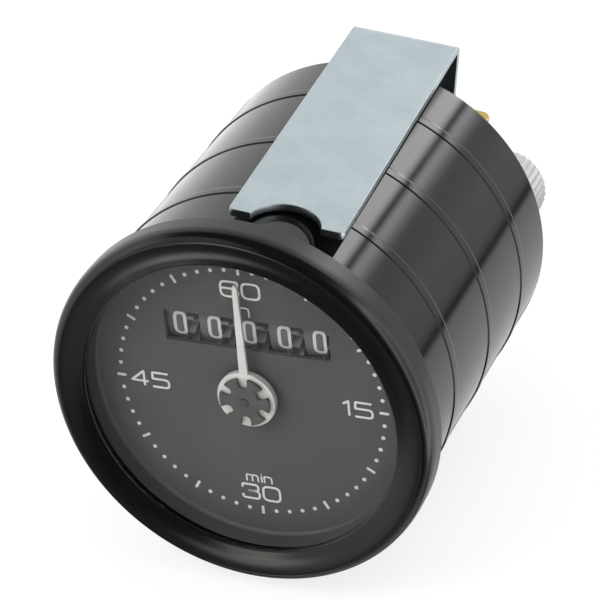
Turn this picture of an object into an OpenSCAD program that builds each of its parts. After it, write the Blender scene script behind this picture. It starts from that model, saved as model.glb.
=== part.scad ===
// Panel hour meter with a minute dial, a five-drum counter with carry pinions,
// a closed drive unit and a U-shaped clamp bracket. Sizes are in millimetres.
// +Y runs from the dial to the rear and +Z is twelve o'clock. The origin is on
// the axis, in the plane where the bezel meets the panel.

/* [Case] */
// Outer diameter of the case, which passes through the panel hole
case_d = 52; // [52:0.5:60]
// Depth of the case behind the panel
case_depth = 50.2; // [50:0.2:70]
// Wall thickness of the case
case_wall = 1.8; // [1.4:0.1:2]
// Thickness of the rear wall
rear_wall = 2; // [1.6:0.2:2.6]
// Width of the front flange beyond the case
flange_w = 0.9; // [0.7:0.1:1.2]
// Thickness of the front flange
flange_t = 1; // [0.8:0.1:1.4]
// Panel to the first raised ring
ring_start = 9.6; // [8:0.1:12]
// Spacing of the raised rings
ring_pitch = 14.65; // [12:0.05:16]
// Number of raised rings
ring_count = 3; // [2:1:3]
// Width of a raised ring
ring_w = 1.8; // [1.2:0.2:2.6]
// Height of a raised ring
ring_h = 0.15; // [0.05:0.05:0.2]
// Rounding of the case's rear edge
case_edge = 0.8; // [0.4:0.1:1.4]
// Width of the ledge that the dial rests on
ledge_w = 1; // [0.6:0.1:1.2]
// Length of that ledge
ledge_h = 1.5; // [1:0.1:2]
// Diameter of the bosses around the studs
boss_d = 8.4; // [7:0.2:9]

/* [Bezel] */
// Wall thickness of the bezel's rim
bezel_wall = 0.65; // [0.5:0.05:1]
// How much wider the rim is at the front than at the panel
bezel_flare = 0.1; // [0:0.05:0.3]
// Diameter of the bezel's opening
bezel_opening_d = 45.4; // [44:0.2:46]
// Thickness of the lip over the lens
bezel_lip = 0.6; // [0.4:0.1:1]
// Height of the front ridge above that lip
bezel_crown = 0.8; // [0.4:0.1:1.2]
// Rounding of the bezel's front outer corner
bezel_corner = 1.4; // [1:0.1:1.8]
// Thickness of the turned-in hem behind the case's flange
bezel_hem = 0.6; // [0.4:0.1:1]

/* [Lens and dial] */
// Thickness of the lens
lens_t = 1.5; // [1:0.1:2]
// Thickness of the lens seal
seal_t = 0.4; // [0.3:0.1:0.6]
// Width of the lens seal
seal_w = 2; // [1.2:0.1:2.2]
// Room between lens and dial
dial_room = 2.9; // [2.8:0.1:4]
// Thickness of the dial
dial_t = 0.8; // [0.5:0.1:1.2]
// Wall thickness of the spacer ring over the dial
dial_ring_wall = 0.9; // [0.6:0.1:1.2]
// Diameter of the dial's centre hole
dial_hole_d = 3.6; // [3:0.1:4]
// Width of the counter window
window_w = 24; // [23:0.2:25]
// Height of the counter window
window_h = 4.7; // [4:0.1:5]
// Shift of the counter window to the left of the axis
window_shift = 0.2; // [0:0.1:0.4]

/* [Hand and running indicator] */
// Reach of the hand from the axis
hand_reach = 18.1; // [15:0.1:20]
// Width of the hand at the hub
hand_w = 1.3; // [1:0.1:1.8]
// Width of the hand near its tip
hand_tip_w = 0.7; // [0.5:0.1:1]
// Thickness of the hand
hand_t = 0.5; // [0.4:0.1:0.8]
// Diameter of the hub disc
hub_d = 8.5; // [7:0.1:10]
// Thickness of the hub disc
hub_t = 1; // [0.8:0.1:1.2]
// Room between dial and hub
hub_lift = 0.7; // [0.4:0.1:0.8]
// Diameter of the hollow arbor
arbor_d = 2.4; // [2:0.1:2.6]
// Diameter of the indicator's spindle
spindle_d = 1.2; // [0.8:0.1:1.4]
// Diameter of the running indicator
rotor_d = 7.4; // [6:0.1:8]
// Thickness of the running indicator
rotor_t = 0.5; // [0.4:0.1:0.6]
// Room between hub and running indicator
rotor_lift = 0.2; // [0.1:0.05:0.3]
// Number of lobes on the running indicator
rotor_lobes = 6; // [5:1:7]
// Width of the notches between the lobes
notch_w = 1.35; // [1:0.05:1.6]
// Depth of those notches
notch_depth = 1.5; // [1:0.1:1.8]

/* [Counter] */
// Diameter of the numbered drums
drum_d = 14.5; // [14.3:0.1:14.7]
// Spacing of the drums
drum_pitch = 5.1; // [5:0.05:5.4]
// Width of a drum's numbered face
drum_face_w = 3.1; // [2.8:0.1:3.2]
// Height of the counter above the centre
counter_z = 9.3; // [9.1:0.1:9.8]
// Shift of the drums to the left of the axis
counter_shift = 0.4; // [0.3:0.1:0.6]
// Room between dial and drums
drum_gap = 0.35; // [0.2:0.05:0.6]
// Module of the counter's teeth
tooth_module = 0.65; // [0.62:0.01:0.66]
// Diameter of the drums' axle
drum_axle_d = 2; // [1.6:0.1:2.4]
// Diameter of the carry pinions' axle
pinion_axle_d = 1.5; // [1:0.1:1.8]
// Direction of the carry pinions from the drums' axle, rear to up
carry_angle = 40; // [38:1:46]
// Thickness of the counter frame's sheet
frame_t = 1; // [0.8:0.1:1.2]

/* [Movement] */
// Thickness of the movement plate
plate_t = 2; // [1.5:0.1:3]
// Width of the gearbox left of the centre
gearbox_left = 13; // [10:0.5:14]
// Width of the gearbox right of the centre
gearbox_right = 11; // [9:0.1:11.2]
// Room between the gearbox and the lower stud's head
gearbox_room = 1.1; // [0.5:0.1:1.6]
// Rounding of the gearbox corners
gearbox_corner = 2; // [1:0.5:3]
// Diameter of the motor can
motor_d = 18; // [14:0.5:18.5]
// Room between motor and board
motor_room = 2.2; // [1.5:0.1:4]
// Thickness of the circuit board
board_t = 1.6; // [1:0.2:2]
// Room between board and rear wall
rear_room = 8.3; // [8:0.1:10]

/* [Rear and bracket] */
// Turn of the rear fittings about the axis, clockwise from the front
rear_clock = 8; // [0:1:12]
// Diameter of the studs
stud_d = 4; // [3:0.5:4]
// Distance of the studs from the case's side
stud_inset = 9.5; // [9:0.1:10]
// Height of the stud heads
stud_head_h = 2.1; // [1.6:0.1:2.4]
// Thickness of the washers
washer_t = 0.8; // [0.5:0.1:1]
// Thickness of the nuts on the case
nut_t = 3.2; // [2.4:0.1:3.4]
// Width of the bracket strip
bracket_w = 16; // [13:0.5:17]
// Sheet thickness of the bracket
bracket_t = 1.1; // [0.8:0.1:1.5]
// Room between bracket leg and case
bracket_gap = 0.3; // [0.25:0.05:0.6]
// Panel face to the bracket's feet
bracket_front = 2.55; // [2.5:0.05:6]
// Room between the case's rear and the bracket
bracket_room = 6.5; // [6.5:0.1:9]
// Lean of the bracket on its studs
bracket_lean = 3; // [0:0.5:3]
// Width of the notch between the bracket's feet
foot_notch_w = 9.8; // [8:0.2:10.6]
// Depth of that notch
foot_notch_depth = 4; // [3:0.2:4.6]
// Diameter of the thumb nuts
thumb_d = 10; // [9:0.5:11]
// Thickness of the thumb nuts
thumb_t = 4; // [3:0.2:5]
// Width of a blade terminal
blade_w = 4.8; // [4:0.1:5]
// Thickness of a blade terminal
blade_t = 0.8; // [0.5:0.1:1]
// Reach of a blade terminal behind the case
blade_reach = 8.6; // [6:0.2:9]
// Diameter of the lamp holder's grip
lamp_d = 11.9; // [11:0.1:12.2]
// Length of the lamp holder's grip
lamp_grip = 8; // [6:0.2:9]
// Diameter of the lamp holder's neck
lamp_neck_d = 8.8; // [8:0.1:9]
// Diameter of the bulb
bulb_d = 5; // [4:0.1:5.2]

/* [Hidden] */
$fn = 64;

// Clearances: a running fit, a fixed fit, and loose room between pieces
run_fit = 0.05;
fix_fit = 0.02;
loose_fit = 0.1;
through = 1;

// Front stack, from the panel face forwards
case_r = case_d / 2;
case_inner_r = case_r - case_wall;
flange_r = case_r + flange_w;
flange_front = -bezel_hem - flange_t;
lens_rear = flange_front - seal_t;
lens_front = lens_rear - lens_t;
lip_front = lens_front - bezel_lip;
ridge_front = lip_front - bezel_crown;
bezel_cavity_r = flange_r + loose_fit;
bezel_r = bezel_cavity_r + bezel_wall;
lens_r = bezel_cavity_r - 2 * loose_fit;

// Dial, hand and running indicator
dial_front = lens_rear + dial_room;
dial_rear = dial_front + dial_t;
dial_r = case_inner_r - loose_fit;
hub_rear = dial_front - hub_lift;
hub_front = hub_rear - hub_t;
rotor_rear = hub_front - rotor_lift;
rotor_front = rotor_rear - rotor_t;
spindle_front = rotor_front - loose_fit;

// Counter: drums, teeth and the two axles
drum_r = drum_d / 2;
gear_teeth = 20;
pinion_teeth = 8;
tooth_addendum = 0.92 * tooth_module;
tooth_dedendum = 1.23 * tooth_module;
gear_pitch_r = gear_teeth * tooth_module / 2;
gear_tip_r = gear_pitch_r + tooth_addendum;
gear_root_r = gear_pitch_r - tooth_dedendum;
pinion_pitch_r = pinion_teeth * tooth_module / 2;
pinion_tip_r = pinion_pitch_r + tooth_addendum;
pinion_root_r = pinion_pitch_r - tooth_dedendum;
tooth_tip_w = 0.7 * tooth_module;
gear_root_w = 1.7 * tooth_module;
pinion_root_w = 1.45 * tooth_module;
mesh_distance = gear_pitch_r + pinion_pitch_r;
lock_rim_r = mesh_distance - pinion_tip_r - loose_fit;
gear_w = 1.1;
carry_w = drum_pitch - drum_face_w - gear_w - loose_fit;
carry_lag = 51;
carry_teeth_angle = carry_angle - carry_lag;
drum_y = dial_rear + drum_gap + drum_r;
carry_y = drum_y + mesh_distance * cos(carry_angle);
carry_z = counter_z + mesh_distance * sin(carry_angle);
drive_z = counter_z - mesh_distance;
units_x = 2 * drum_pitch - counter_shift;
ten_thousands_x = units_x - 4 * drum_pitch;
counter_right = units_x + drum_face_w / 2 + gear_w + 2 * loose_fit;
counter_left = ten_thousands_x - drum_face_w / 2 - 2 * loose_fit;
axle_over = frame_t + 0.6;

// Rear wall and studs
case_floor = case_depth - rear_wall;
stud_offset = case_r - stud_inset;
stud_r = stud_d / 2;
stud_head_r = stud_r + 1.4;
washer_r = stud_r + 2.4;
nut_flats = 7;

// Movement plate, counter frame and gearbox
plate_front = carry_y + pinion_tip_r + 3 * loose_fit + stud_head_h;
plate_rear = plate_front + plate_t;
plate_gap = 1.6;
plate_r = case_inner_r - plate_gap;
frame_low = counter_z - 4.3;
frame_high = stud_offset - stud_head_r - 0.7;
frame_screw_x = 9;
frame_screw_z = (frame_low + frame_high) / 2;
frame_screw_d = 2;
frame_screw_head_r = 1.7;
frame_screw_head_h = 1;
gearbox_top = counter_z - drum_r - 2.5 * loose_fit;
gearbox_drop = stud_offset - stud_head_r - gearbox_room;
gearbox_front_y = dial_rear + 3.8;
gearbox_split = drum_y + 2.7;
gearbox_screw_d = 2;
gearbox_screw_head_r = 1.9;
gearbox_screw_head_h = 1.2;
gearbox_screw_inset = 2.6;
gearbox_screw_spots = [[-gearbox_left + gearbox_screw_inset, gearbox_top - 4.2],
                       [-gearbox_left + gearbox_screw_inset, -gearbox_drop + gearbox_screw_inset],
                       [gearbox_right - gearbox_screw_inset, -gearbox_drop + gearbox_screw_inset]];
drive_shaft_start = 4;
spindle_bite = 5;

// Circuit board, its pillars and what stands on it, and the motor under it
board_rear = case_floor - rear_room;
board_front = board_rear - board_t;
board_gap = 2.6;
board_r = case_inner_r - board_gap;
pillar_d = 4;
pillar_end_r = 0.9;
pillar_inset = 4;
pillar_spots = [for (a = [186, -48, 55]) (board_r - pillar_inset) * [cos(a), sin(a)]];
motor_gap = 1.6;
motor_cap_h = 0.8;
motor_len = board_front - plate_rear - motor_room - motor_cap_h;
motor_spot = [-(board_r - pillar_inset - pillar_d / 2 - motor_gap - motor_d / 2),
              -(stud_offset - boss_d / 2 - motor_gap - motor_d / 2)];
chip_spot = board_r * [0.19, -0.26];
chip_w = 9.4;
chip_h = 6.2;
chip_t = 3.2;
chip_stand = 0.5;
chip_leg_pitch = 2.54;
crystal_spot = board_r * [-0.28, 0.35];
crystal_w = 11;
crystal_h = 4.6;
crystal_t = 3.6;
crystal_rim = 0.5;
capacitor_spot = board_r * [-0.555, -0.28];
capacitor_r = 3.1;
capacitor_len = rear_room - 1.7;

// Terminals and lamp
lamp_inset = 7.55;
lamp_angle = 19.3;
lamp_spot = (case_r - lamp_inset) * [cos(lamp_angle), sin(lamp_angle)];
blade_inset = 1.7;
blade_angle = 55.8;
blade_clear = 0.75;
blade_line_r = board_r - blade_inset;
blade_x = max(blade_line_r * cos(blade_angle), bracket_w / 2 + blade_clear + blade_w / 2);
blade_spot = [blade_x, sqrt(pow(blade_line_r, 2) - pow(blade_x, 2))];
blade_tail_w = 2;
blade_collar_w = blade_w + 1.4;
blade_collar_t = 1.4;
lamp_lug_r = lamp_neck_d / 2 + 1;
lamp_lug_w = 2.2;
lamp_lug_t = 1.6;
lamp_cap_h = 0.5;
lamp_socket_depth = 3.6;
lamp_nose = 2.6;
bulb_len = 9;

// Clamp bracket
leg_inner = case_r + bracket_gap;
leg_outer = leg_inner + bracket_t;
cross_front = case_depth + bracket_room;
cross_rear = cross_front + bracket_t;
lean_gap = (washer_r + 0.2) * tan(bracket_lean) + loose_fit / 2;
bracket_hole_r = stud_r + 0.6;
bend_inner_r = 0.6;
foot_corner = 0.8;
clamp_washer_front = cross_rear + lean_gap;
thumb_front = clamp_washer_front + washer_t + run_fit;
thumb_travel = 2.1;
stud_tip = 0.5;
stud_end = thumb_front + thumb_t + thumb_travel + stud_tip;

// A flat outline in x and z, given thickness t from y rearwards
module plate_y(y, t) {
    translate([0, y + t, 0]) rotate([90, 0, 0]) linear_extrude(t) children();
}

// A flat outline in y and z, given thickness t from x to the right
module plate_x(x, t) {
    translate([x, 0, 0]) rotate([90, 0, 90]) linear_extrude(t) children();
}

// A profile of radius and y, turned about the axis
module turned_y() {
    rotate([-90, 0, 0]) rotate_extrude() children();
}

// A round bar along y
module rod_y(x, z, y0, y1, r) {
    plate_y(y0, y1 - y0) translate([x, z]) circle(r);
}

// A round bar along x
module rod_x(x0, x1, y, z, r) {
    plate_x(x0, x1 - x0) translate([y, z]) circle(r);
}

// A box in the profile plane, from one corner to the other
module span(a, b) {
    translate(a) square(b - a);
}

// A rectangle with round corners, from one corner to the other
module round_span(a, b, r) {
    span(a + [r, 0], b - [r, 0]);
    span(a + [0, r], b - [0, r]);
    for (x = [a.x + r, b.x - r], y = [a.y + r, b.y - r]) translate([x, y]) circle(r);
}

// The frame of the rear fittings, turned about the axis
module clocked() {
    rotate([0, rear_clock, 0]) children();
}

// A toothed wheel; a tooth points along each listed angle
module toothed(root_r, tip_r, root_w, tip_w, angles) {
    circle(root_r);
    for (a = angles)
        rotate(a)
            polygon([[0, -root_w / 2], [root_r, -root_w / 2], [tip_r, -tip_w / 2],
                     [tip_r, tip_w / 2], [root_r, root_w / 2], [0, root_w / 2]]);
}

// The stud positions, above and below the axis
module at_studs() {
    clocked() for (z = [stud_offset, -stud_offset]) translate([0, 0, z]) children();
}

// Moulded cup with raised rings, a front flange, a dial ledge and stud bosses
module case() {
    color([0.06, 0.06, 0.06]) difference() {
        union() {
            turned_y() difference() {
                union() {
                    span([0, flange_front], [case_r, case_depth]);
                    span([0, flange_front], [flange_r, -bezel_hem]);
                    for (i = [0 : ring_count - 1])
                        span([0, ring_start + i * ring_pitch],
                             [case_r + ring_h, ring_start + i * ring_pitch + ring_w]);
                }
                span([0, flange_front - through], [case_inner_r, dial_rear]);
                span([0, dial_rear - through], [case_inner_r - ledge_w, dial_rear + ledge_h]);
                span([0, dial_rear + ledge_h], [case_inner_r, case_floor]);
                difference() {
                    span([case_r - case_edge, case_depth - case_edge], [case_r + through, case_depth + through]);
                    translate([case_r - case_edge, case_depth - case_edge]) circle(case_edge);
                }
            }
            at_studs() rod_y(0, 0, plate_rear, case_depth - rear_wall / 2, boss_d / 2);
        }
        at_studs() rod_y(0, 0, plate_rear - through, case_depth + through, stud_r + run_fit);
        clocked() for (side = [-1, 1])
            plate_y(case_floor - through, rear_wall + 2 * through)
                translate([side * blade_spot.x, blade_spot.y])
                    square([blade_w + 2 * loose_fit, blade_t + 2 * loose_fit], center = true);
        clocked() plate_y(case_floor - through, rear_wall + 2 * through) translate(lamp_spot) {
            circle(lamp_neck_d / 2 + loose_fit);
            rotate(90) square([2 * (lamp_lug_r + loose_fit), lamp_lug_w + 2 * loose_fit], center = true);
        }
    }
}

// Rim with a dished front lip and a hem turned in behind the case's flange
module bezel() {
    color([0.1, 0.1, 0.1]) turned_y() difference() {
        union() {
            polygon([[0, 0], [bezel_r, 0], [bezel_r + bezel_flare, ridge_front + bezel_corner],
                     [bezel_r + bezel_flare - bezel_corner, ridge_front],
                     [bezel_opening_d / 2, lip_front], [0, lip_front]]);
            intersection() {
                translate([bezel_r + bezel_flare - bezel_corner, ridge_front + bezel_corner])
                    circle(bezel_corner);
                span([bezel_r - bezel_corner, ridge_front], [bezel_r + bezel_flare, lens_front]);
            }
        }
        span([0, ridge_front - through], [bezel_opening_d / 2, through]);
        span([0, lens_front], [bezel_cavity_r, -bezel_hem]);
        span([0, -bezel_hem - through], [case_r + run_fit, through]);
    }
}

module lens() {
    color([0.9, 0.95, 0.97, 0.35]) rod_y(0, 0, lens_front, lens_rear, lens_r);
}

module lens_seal() {
    color([0.05, 0.05, 0.05]) turned_y() span([lens_r - seal_w, lens_rear], [lens_r, flange_front]);
}

// Spacer ring that holds the dial on its ledge
module dial_ring() {
    color([0.17, 0.17, 0.17]) turned_y()
        span([dial_r - dial_ring_wall, lens_rear], [dial_r, dial_front]);
}

module dial() {
    color([0.3, 0.3, 0.3]) plate_y(dial_front, dial_t) difference() {
        circle(dial_r);
        circle(dial_hole_d / 2);
        translate([-window_shift, counter_z]) square([window_w, window_h], center = true);
    }
}

// Needle and hub disc in one piece
module minute_hand() {
    tip_len = 0.5;
    color([0.9, 0.9, 0.87]) difference() {
        union() {
            rod_y(0, 0, hub_front, hub_rear, hub_d / 2);
            plate_y(hub_front, hand_t)
                polygon([[-hand_w / 2, 0], [hand_w / 2, 0], [hand_tip_w / 2, hand_reach - tip_len],
                         [0, hand_reach], [-hand_tip_w / 2, hand_reach - tip_len]]);
        }
        rod_y(0, 0, hub_front - through, hub_rear + through, arbor_d / 2 + fix_fit);
    }
}

// Hollow arbor from the gearbox through the dial
module hand_arbor() {
    color([0.78, 0.65, 0.32]) difference() {
        rod_y(0, 0, hub_front, gearbox_split - loose_fit, arbor_d / 2);
        rod_y(0, 0, hub_front - through, gearbox_split + through, spindle_d / 2 + run_fit);
    }
}

// Lobed disc with a round-ended notch between each two lobes
module running_indicator() {
    notch_floor = rotor_d / 2 - notch_depth + notch_w / 2;
    color([0.22, 0.22, 0.22]) plate_y(rotor_front, rotor_t) difference() {
        circle(rotor_d / 2);
        circle(spindle_d / 2 + fix_fit);
        for (i = [0 : rotor_lobes - 1]) rotate(i * 360 / rotor_lobes) {
            translate([0, notch_floor]) circle(notch_w / 2);
            span([-notch_w / 2, notch_floor], [notch_w / 2, rotor_d]);
        }
    }
}

module indicator_spindle() {
    color([0.7, 0.71, 0.72]) rod_y(0, 0, spindle_front, gearbox_split + spindle_bite, spindle_d / 2);
}

// Numbered drum: driven gear on the right, and on the left two carry teeth on a
// locking rim, which the last drum lacks
module drum(x, gap_angle, carries = true) {
    face_left = x - drum_face_w / 2;
    face_right = x + drum_face_w / 2;
    pocket_r = gear_root_r - 0.7;
    hub_r = drum_axle_d / 2 + 1.2;
    gear_angles = [for (i = [0 : gear_teeth - 1]) gap_angle + (i + 0.5) * 360 / gear_teeth];
    carry_angles = [for (s = [-0.5, 0.5]) carry_teeth_angle + s * 360 / gear_teeth];
    color([0.28, 0.28, 0.28]) translate([0, drum_y, counter_z]) difference() {
        union() {
            rod_x(face_left, face_right, 0, 0, drum_r);
            plate_x(face_right, gear_w) toothed(gear_root_r, gear_tip_r, gear_root_w, tooth_tip_w, gear_angles);
            if (carries) plate_x(face_left - carry_w, carry_w)
                toothed(lock_rim_r, gear_tip_r, gear_root_w, tooth_tip_w, carry_angles);
        }
        rod_x(face_left - drum_pitch, face_right + drum_pitch, 0, 0, drum_axle_d / 2 + run_fit);
        plate_x(x, drum_pitch) difference() {
            circle(pocket_r);
            circle(hub_r);
        }
    }
}

module drum_units() { drum(units_x, -90); }
module drum_tens() { drum(units_x - drum_pitch, carry_angle); }
module drum_hundreds() { drum(units_x - 2 * drum_pitch, carry_angle); }
module drum_thousands() { drum(units_x - 3 * drum_pitch, carry_angle); }
module drum_ten_thousands() { drum(ten_thousands_x, carry_angle, carries = false); }

// Carry pinion: every tooth runs in the driven gear, and each second tooth is
// wide enough to ride on the locking rim of the drum on its right
module transfer_pinion(place) {
    gear_left = units_x - place * drum_pitch + drum_face_w / 2;
    mesh_angle = carry_angle + 180;
    step = 360 / pinion_teeth;
    all_teeth = [for (i = [0 : pinion_teeth - 1]) mesh_angle + i * step];
    wide_teeth = [for (i = [0 : pinion_teeth / 2 - 1]) mesh_angle + (2 * i + 1) * step];
    color([0.85, 0.83, 0.76]) translate([0, carry_y, carry_z]) difference() {
        union() {
            plate_x(gear_left + loose_fit, gear_w - loose_fit)
                toothed(pinion_root_r, pinion_tip_r, pinion_root_w, tooth_tip_w, all_teeth);
            plate_x(gear_left + gear_w, carry_w)
                toothed(pinion_root_r, pinion_tip_r, pinion_root_w, tooth_tip_w, wide_teeth);
        }
        rod_x(gear_left - through, gear_left + drum_pitch, 0, 0, pinion_axle_d / 2 + run_fit);
    }
}

module transfer_pinion_tens() { transfer_pinion(1); }
module transfer_pinion_hundreds() { transfer_pinion(2); }
module transfer_pinion_thousands() { transfer_pinion(3); }
module transfer_pinion_ten_thousands() { transfer_pinion(4); }

// Pinion under the units drum, on a shaft that comes out of the gearbox
module drive_pinion() {
    gear_left = units_x + drum_face_w / 2;
    teeth = [for (i = [0 : pinion_teeth - 1]) 90 + i * 360 / pinion_teeth];
    color([0.78, 0.65, 0.32]) translate([0, drum_y, drive_z]) {
        plate_x(gear_left + loose_fit / 2, gear_w)
            toothed(pinion_root_r, pinion_tip_r, pinion_root_w, tooth_tip_w, teeth);
        rod_x(drive_shaft_start, gear_left + gear_w, 0, 0, pinion_axle_d / 2);
    }
}

module drum_axle() {
    color([0.7, 0.71, 0.72])
        rod_x(counter_left - axle_over, counter_right + axle_over, drum_y, counter_z, drum_axle_d / 2);
}

module pinion_axle() {
    color([0.7, 0.71, 0.72])
        rod_x(counter_left - axle_over, counter_right + axle_over, carry_y, carry_z, pinion_axle_d / 2);
}

// Folded frame: a base on the movement plate and a cheek at each end of the drums
module counter_frame() {
    drum_eye = drum_axle_d / 2 + 1.6;
    pinion_eye = pinion_axle_d / 2 + 0.7;
    color([0.72, 0.73, 0.74]) difference() {
        union() {
            plate_y(plate_front - frame_t, frame_t)
                span([counter_left - frame_t, frame_low], [counter_right + frame_t, frame_high]);
            for (x = [counter_left - frame_t, counter_right]) plate_x(x, frame_t) {
                polygon([[drum_y, counter_z - drum_eye], [plate_front, frame_low], [plate_front, frame_high],
                         [carry_y, carry_z], [drum_y, counter_z + drum_eye]]);
                translate([drum_y, counter_z]) circle(drum_eye);
                translate([carry_y, carry_z]) circle(pinion_eye);
                span([drum_y, counter_z], [carry_y + pinion_eye, carry_z]);
            }
        }
        rod_x(counter_left - 2 * frame_t, counter_right + 2 * frame_t, drum_y, counter_z,
              drum_axle_d / 2 + fix_fit);
        rod_x(counter_left - 2 * frame_t, counter_right + 2 * frame_t, carry_y, carry_z,
              pinion_axle_d / 2 + fix_fit);
        for (x = [-frame_screw_x, frame_screw_x])
            rod_y(x, frame_screw_z, plate_front - 2 * frame_t, plate_front + through, frame_screw_d / 2 + fix_fit);
    }
}

// A slotted cheese-head screw along y; its head is in front of the seat
module screw_y(x, z, seat, reach, d, head_r, head_h) {
    slot_w = 0.4 * d;
    difference() {
        union() {
            rod_y(x, z, seat - head_h, seat, head_r);
            rod_y(x, z, seat - head_h / 2, seat + reach, d / 2);
        }
        plate_y(seat - head_h - through, through + 0.45 * head_h)
            translate([x, z]) square([2 * head_r + through, slot_w], center = true);
    }
}

module frame_screws() {
    color([0.75, 0.76, 0.77]) for (x = [-frame_screw_x, frame_screw_x])
        screw_y(x, frame_screw_z, plate_front - frame_t, frame_t + plate_t, frame_screw_d,
                frame_screw_head_r, frame_screw_head_h);
}

// Plate that carries counter and drive unit and is clamped on the case's bosses
module movement_plate() {
    color([0.2, 0.2, 0.21]) difference() {
        rod_y(0, 0, plate_front, plate_rear, plate_r);
        at_studs() rod_y(0, 0, plate_front - through, plate_rear + through, stud_r + run_fit);
        for (x = [-frame_screw_x, frame_screw_x])
            rod_y(x, frame_screw_z, plate_front - through, plate_rear + through, frame_screw_d / 2 + fix_fit);
        for (s = gearbox_screw_spots)
            rod_y(s.x, s.y, plate_front - through, plate_rear + through, gearbox_screw_d / 2 + fix_fit);
    }
}

module gearbox_outline() {
    round_span([-gearbox_left, -gearbox_drop], [gearbox_right, gearbox_top], gearbox_corner);
}

// Front half of the closed gearbox, with the bearings of the arbor and the drive pinion
module gearbox_front() {
    color([0.8, 0.78, 0.7]) difference() {
        union() {
            plate_y(gearbox_front_y, gearbox_split - gearbox_front_y) gearbox_outline();
            rod_y(0, 0, gearbox_front_y - 1, gearbox_front_y + through, arbor_d / 2 + 0.55);
        }
        rod_y(0, 0, gearbox_front_y - 2, gearbox_split + through, arbor_d / 2 + run_fit);
        rod_x(drive_shaft_start - loose_fit, gearbox_right + through, drum_y, drive_z, pinion_axle_d / 2 + run_fit);
        for (s = gearbox_screw_spots)
            rod_y(s.x, s.y, gearbox_front_y - through, gearbox_split + through, gearbox_screw_d / 2 + fix_fit);
    }
}

// Rear half of the closed gearbox, standing on the movement plate
module gearbox_rear() {
    color([0.76, 0.74, 0.66]) difference() {
        plate_y(gearbox_split, plate_front - gearbox_split) gearbox_outline();
        rod_y(0, 0, gearbox_split - through, gearbox_split + spindle_bite + 2 * loose_fit, spindle_d / 2 + run_fit);
        for (s = gearbox_screw_spots)
            rod_y(s.x, s.y, gearbox_split - through, plate_front + through, gearbox_screw_d / 2 + fix_fit);
    }
}

module gearbox_screws() {
    color([0.75, 0.76, 0.77]) for (s = gearbox_screw_spots)
        screw_y(s.x, s.y, gearbox_front_y, plate_rear - gearbox_front_y, gearbox_screw_d,
                gearbox_screw_head_r, gearbox_screw_head_h);
}

// Closed motor can with a rolled front flange and a terminal block on its side
module motor() {
    flange = 1;
    color([0.66, 0.67, 0.68]) translate([motor_spot.x, 0, motor_spot.y]) {
        rod_y(0, 0, plate_rear, plate_rear + motor_len, motor_d / 2 - flange);
        rod_y(0, 0, plate_rear, plate_rear + 1.2, motor_d / 2);
        rod_y(0, 0, plate_rear + motor_len - through, plate_rear + motor_len + motor_cap_h, 3);
        plate_y(plate_rear + motor_len - 5, 4) span([motor_d / 2 - 3, -3.5], [motor_d / 2 + 1, 3.5]);
    }
}

// Hexagonal pillars between movement plate and board, with a reduced end in the board
module board_pillars() {
    color([0.78, 0.65, 0.32]) for (s = pillar_spots) {
        plate_y(plate_rear, board_front - plate_rear) translate(s) circle(pillar_d / 2, $fn = 6);
        rod_y(s.x, s.y, board_front - through, board_rear + 0.6, pillar_end_r);
    }
}

module circuit_board() {
    color([0.25, 0.42, 0.2]) difference() {
        rod_y(0, 0, board_front, board_rear, board_r);
        for (s = pillar_spots) rod_y(s.x, s.y, board_front - through, board_rear + through, pillar_end_r + fix_fit);
        clocked() plate_y(board_front - through, board_t + 2 * through) {
            for (z = [-1, 1])
                translate([0, z * (stud_offset + boss_d / 4)])
                    square([boss_d + 1.2, 1.5 * boss_d + 1.2], center = true);
            translate(lamp_spot) circle(lamp_neck_d / 2 + 1.4);
            for (side = [-1, 1]) translate([side * blade_spot.x, blade_spot.y])
                square([blade_tail_w + 2 * loose_fit, blade_t + 2 * loose_fit], center = true);
        }
    }
}

// Eight-leg chip package with its legs in two rows
module driver_chip() {
    color([0.1, 0.1, 0.1]) translate([chip_spot.x, 0, chip_spot.y]) {
        plate_y(board_rear + chip_stand, chip_t) square([chip_w, chip_h], center = true);
        for (i = [-1.5 : 1.5], side = [-1, 1])
            plate_y(board_rear, chip_stand + chip_t / 2)
                translate([i * chip_leg_pitch, side * (chip_h / 2 + 2 * loose_fit)])
                    square([6 * loose_fit, 7 * loose_fit], center = true);
    }
}

// Flat metal crystal can on its base flange
module quartz_crystal() {
    half = [crystal_w / 2, crystal_h / 2];
    can = half - crystal_rim * [1, 1];
    color([0.78, 0.79, 0.8]) translate([crystal_spot.x, 0, crystal_spot.y]) {
        plate_y(board_rear, crystal_rim + loose_fit) round_span(-half, half, half.y - run_fit);
        plate_y(board_rear + crystal_rim, crystal_t - crystal_rim) round_span(-can, can, can.y - run_fit);
    }
}

// Capacitor can with a rolled groove near its foot
module capacitor() {
    foot_h = 1;
    groove = 0.3;
    groove_w = 0.8;
    color([0.15, 0.2, 0.35]) translate([capacitor_spot.x, 0, capacitor_spot.y]) {
        rod_y(0, 0, board_rear, board_rear + foot_h, capacitor_r);
        rod_y(0, 0, board_rear + foot_h - loose_fit, board_rear + foot_h + groove_w + loose_fit, capacitor_r - groove);
        rod_y(0, 0, board_rear + foot_h + groove_w, board_rear + capacitor_len, capacitor_r);
    }
}

// Long studs from the movement plate through the case to the clamp nuts
module case_studs() {
    color([0.72, 0.72, 0.7]) at_studs()
        screw_y(0, 0, plate_front, stud_end - plate_front, stud_d, stud_head_r, stud_head_h);
}

module washer(y, inner_r) {
    plate_y(y, washer_t) difference() {
        circle(washer_r);
        circle(inner_r);
    }
}

module case_washers() {
    color([0.75, 0.76, 0.77]) at_studs() washer(case_depth, stud_r + loose_fit);
}

module case_nuts() {
    color([0.75, 0.76, 0.77]) at_studs() plate_y(case_depth + washer_t, nut_t) difference() {
        circle(nut_flats / sqrt(3), $fn = 6);
        circle(stud_r + fix_fit);
    }
}

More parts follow.
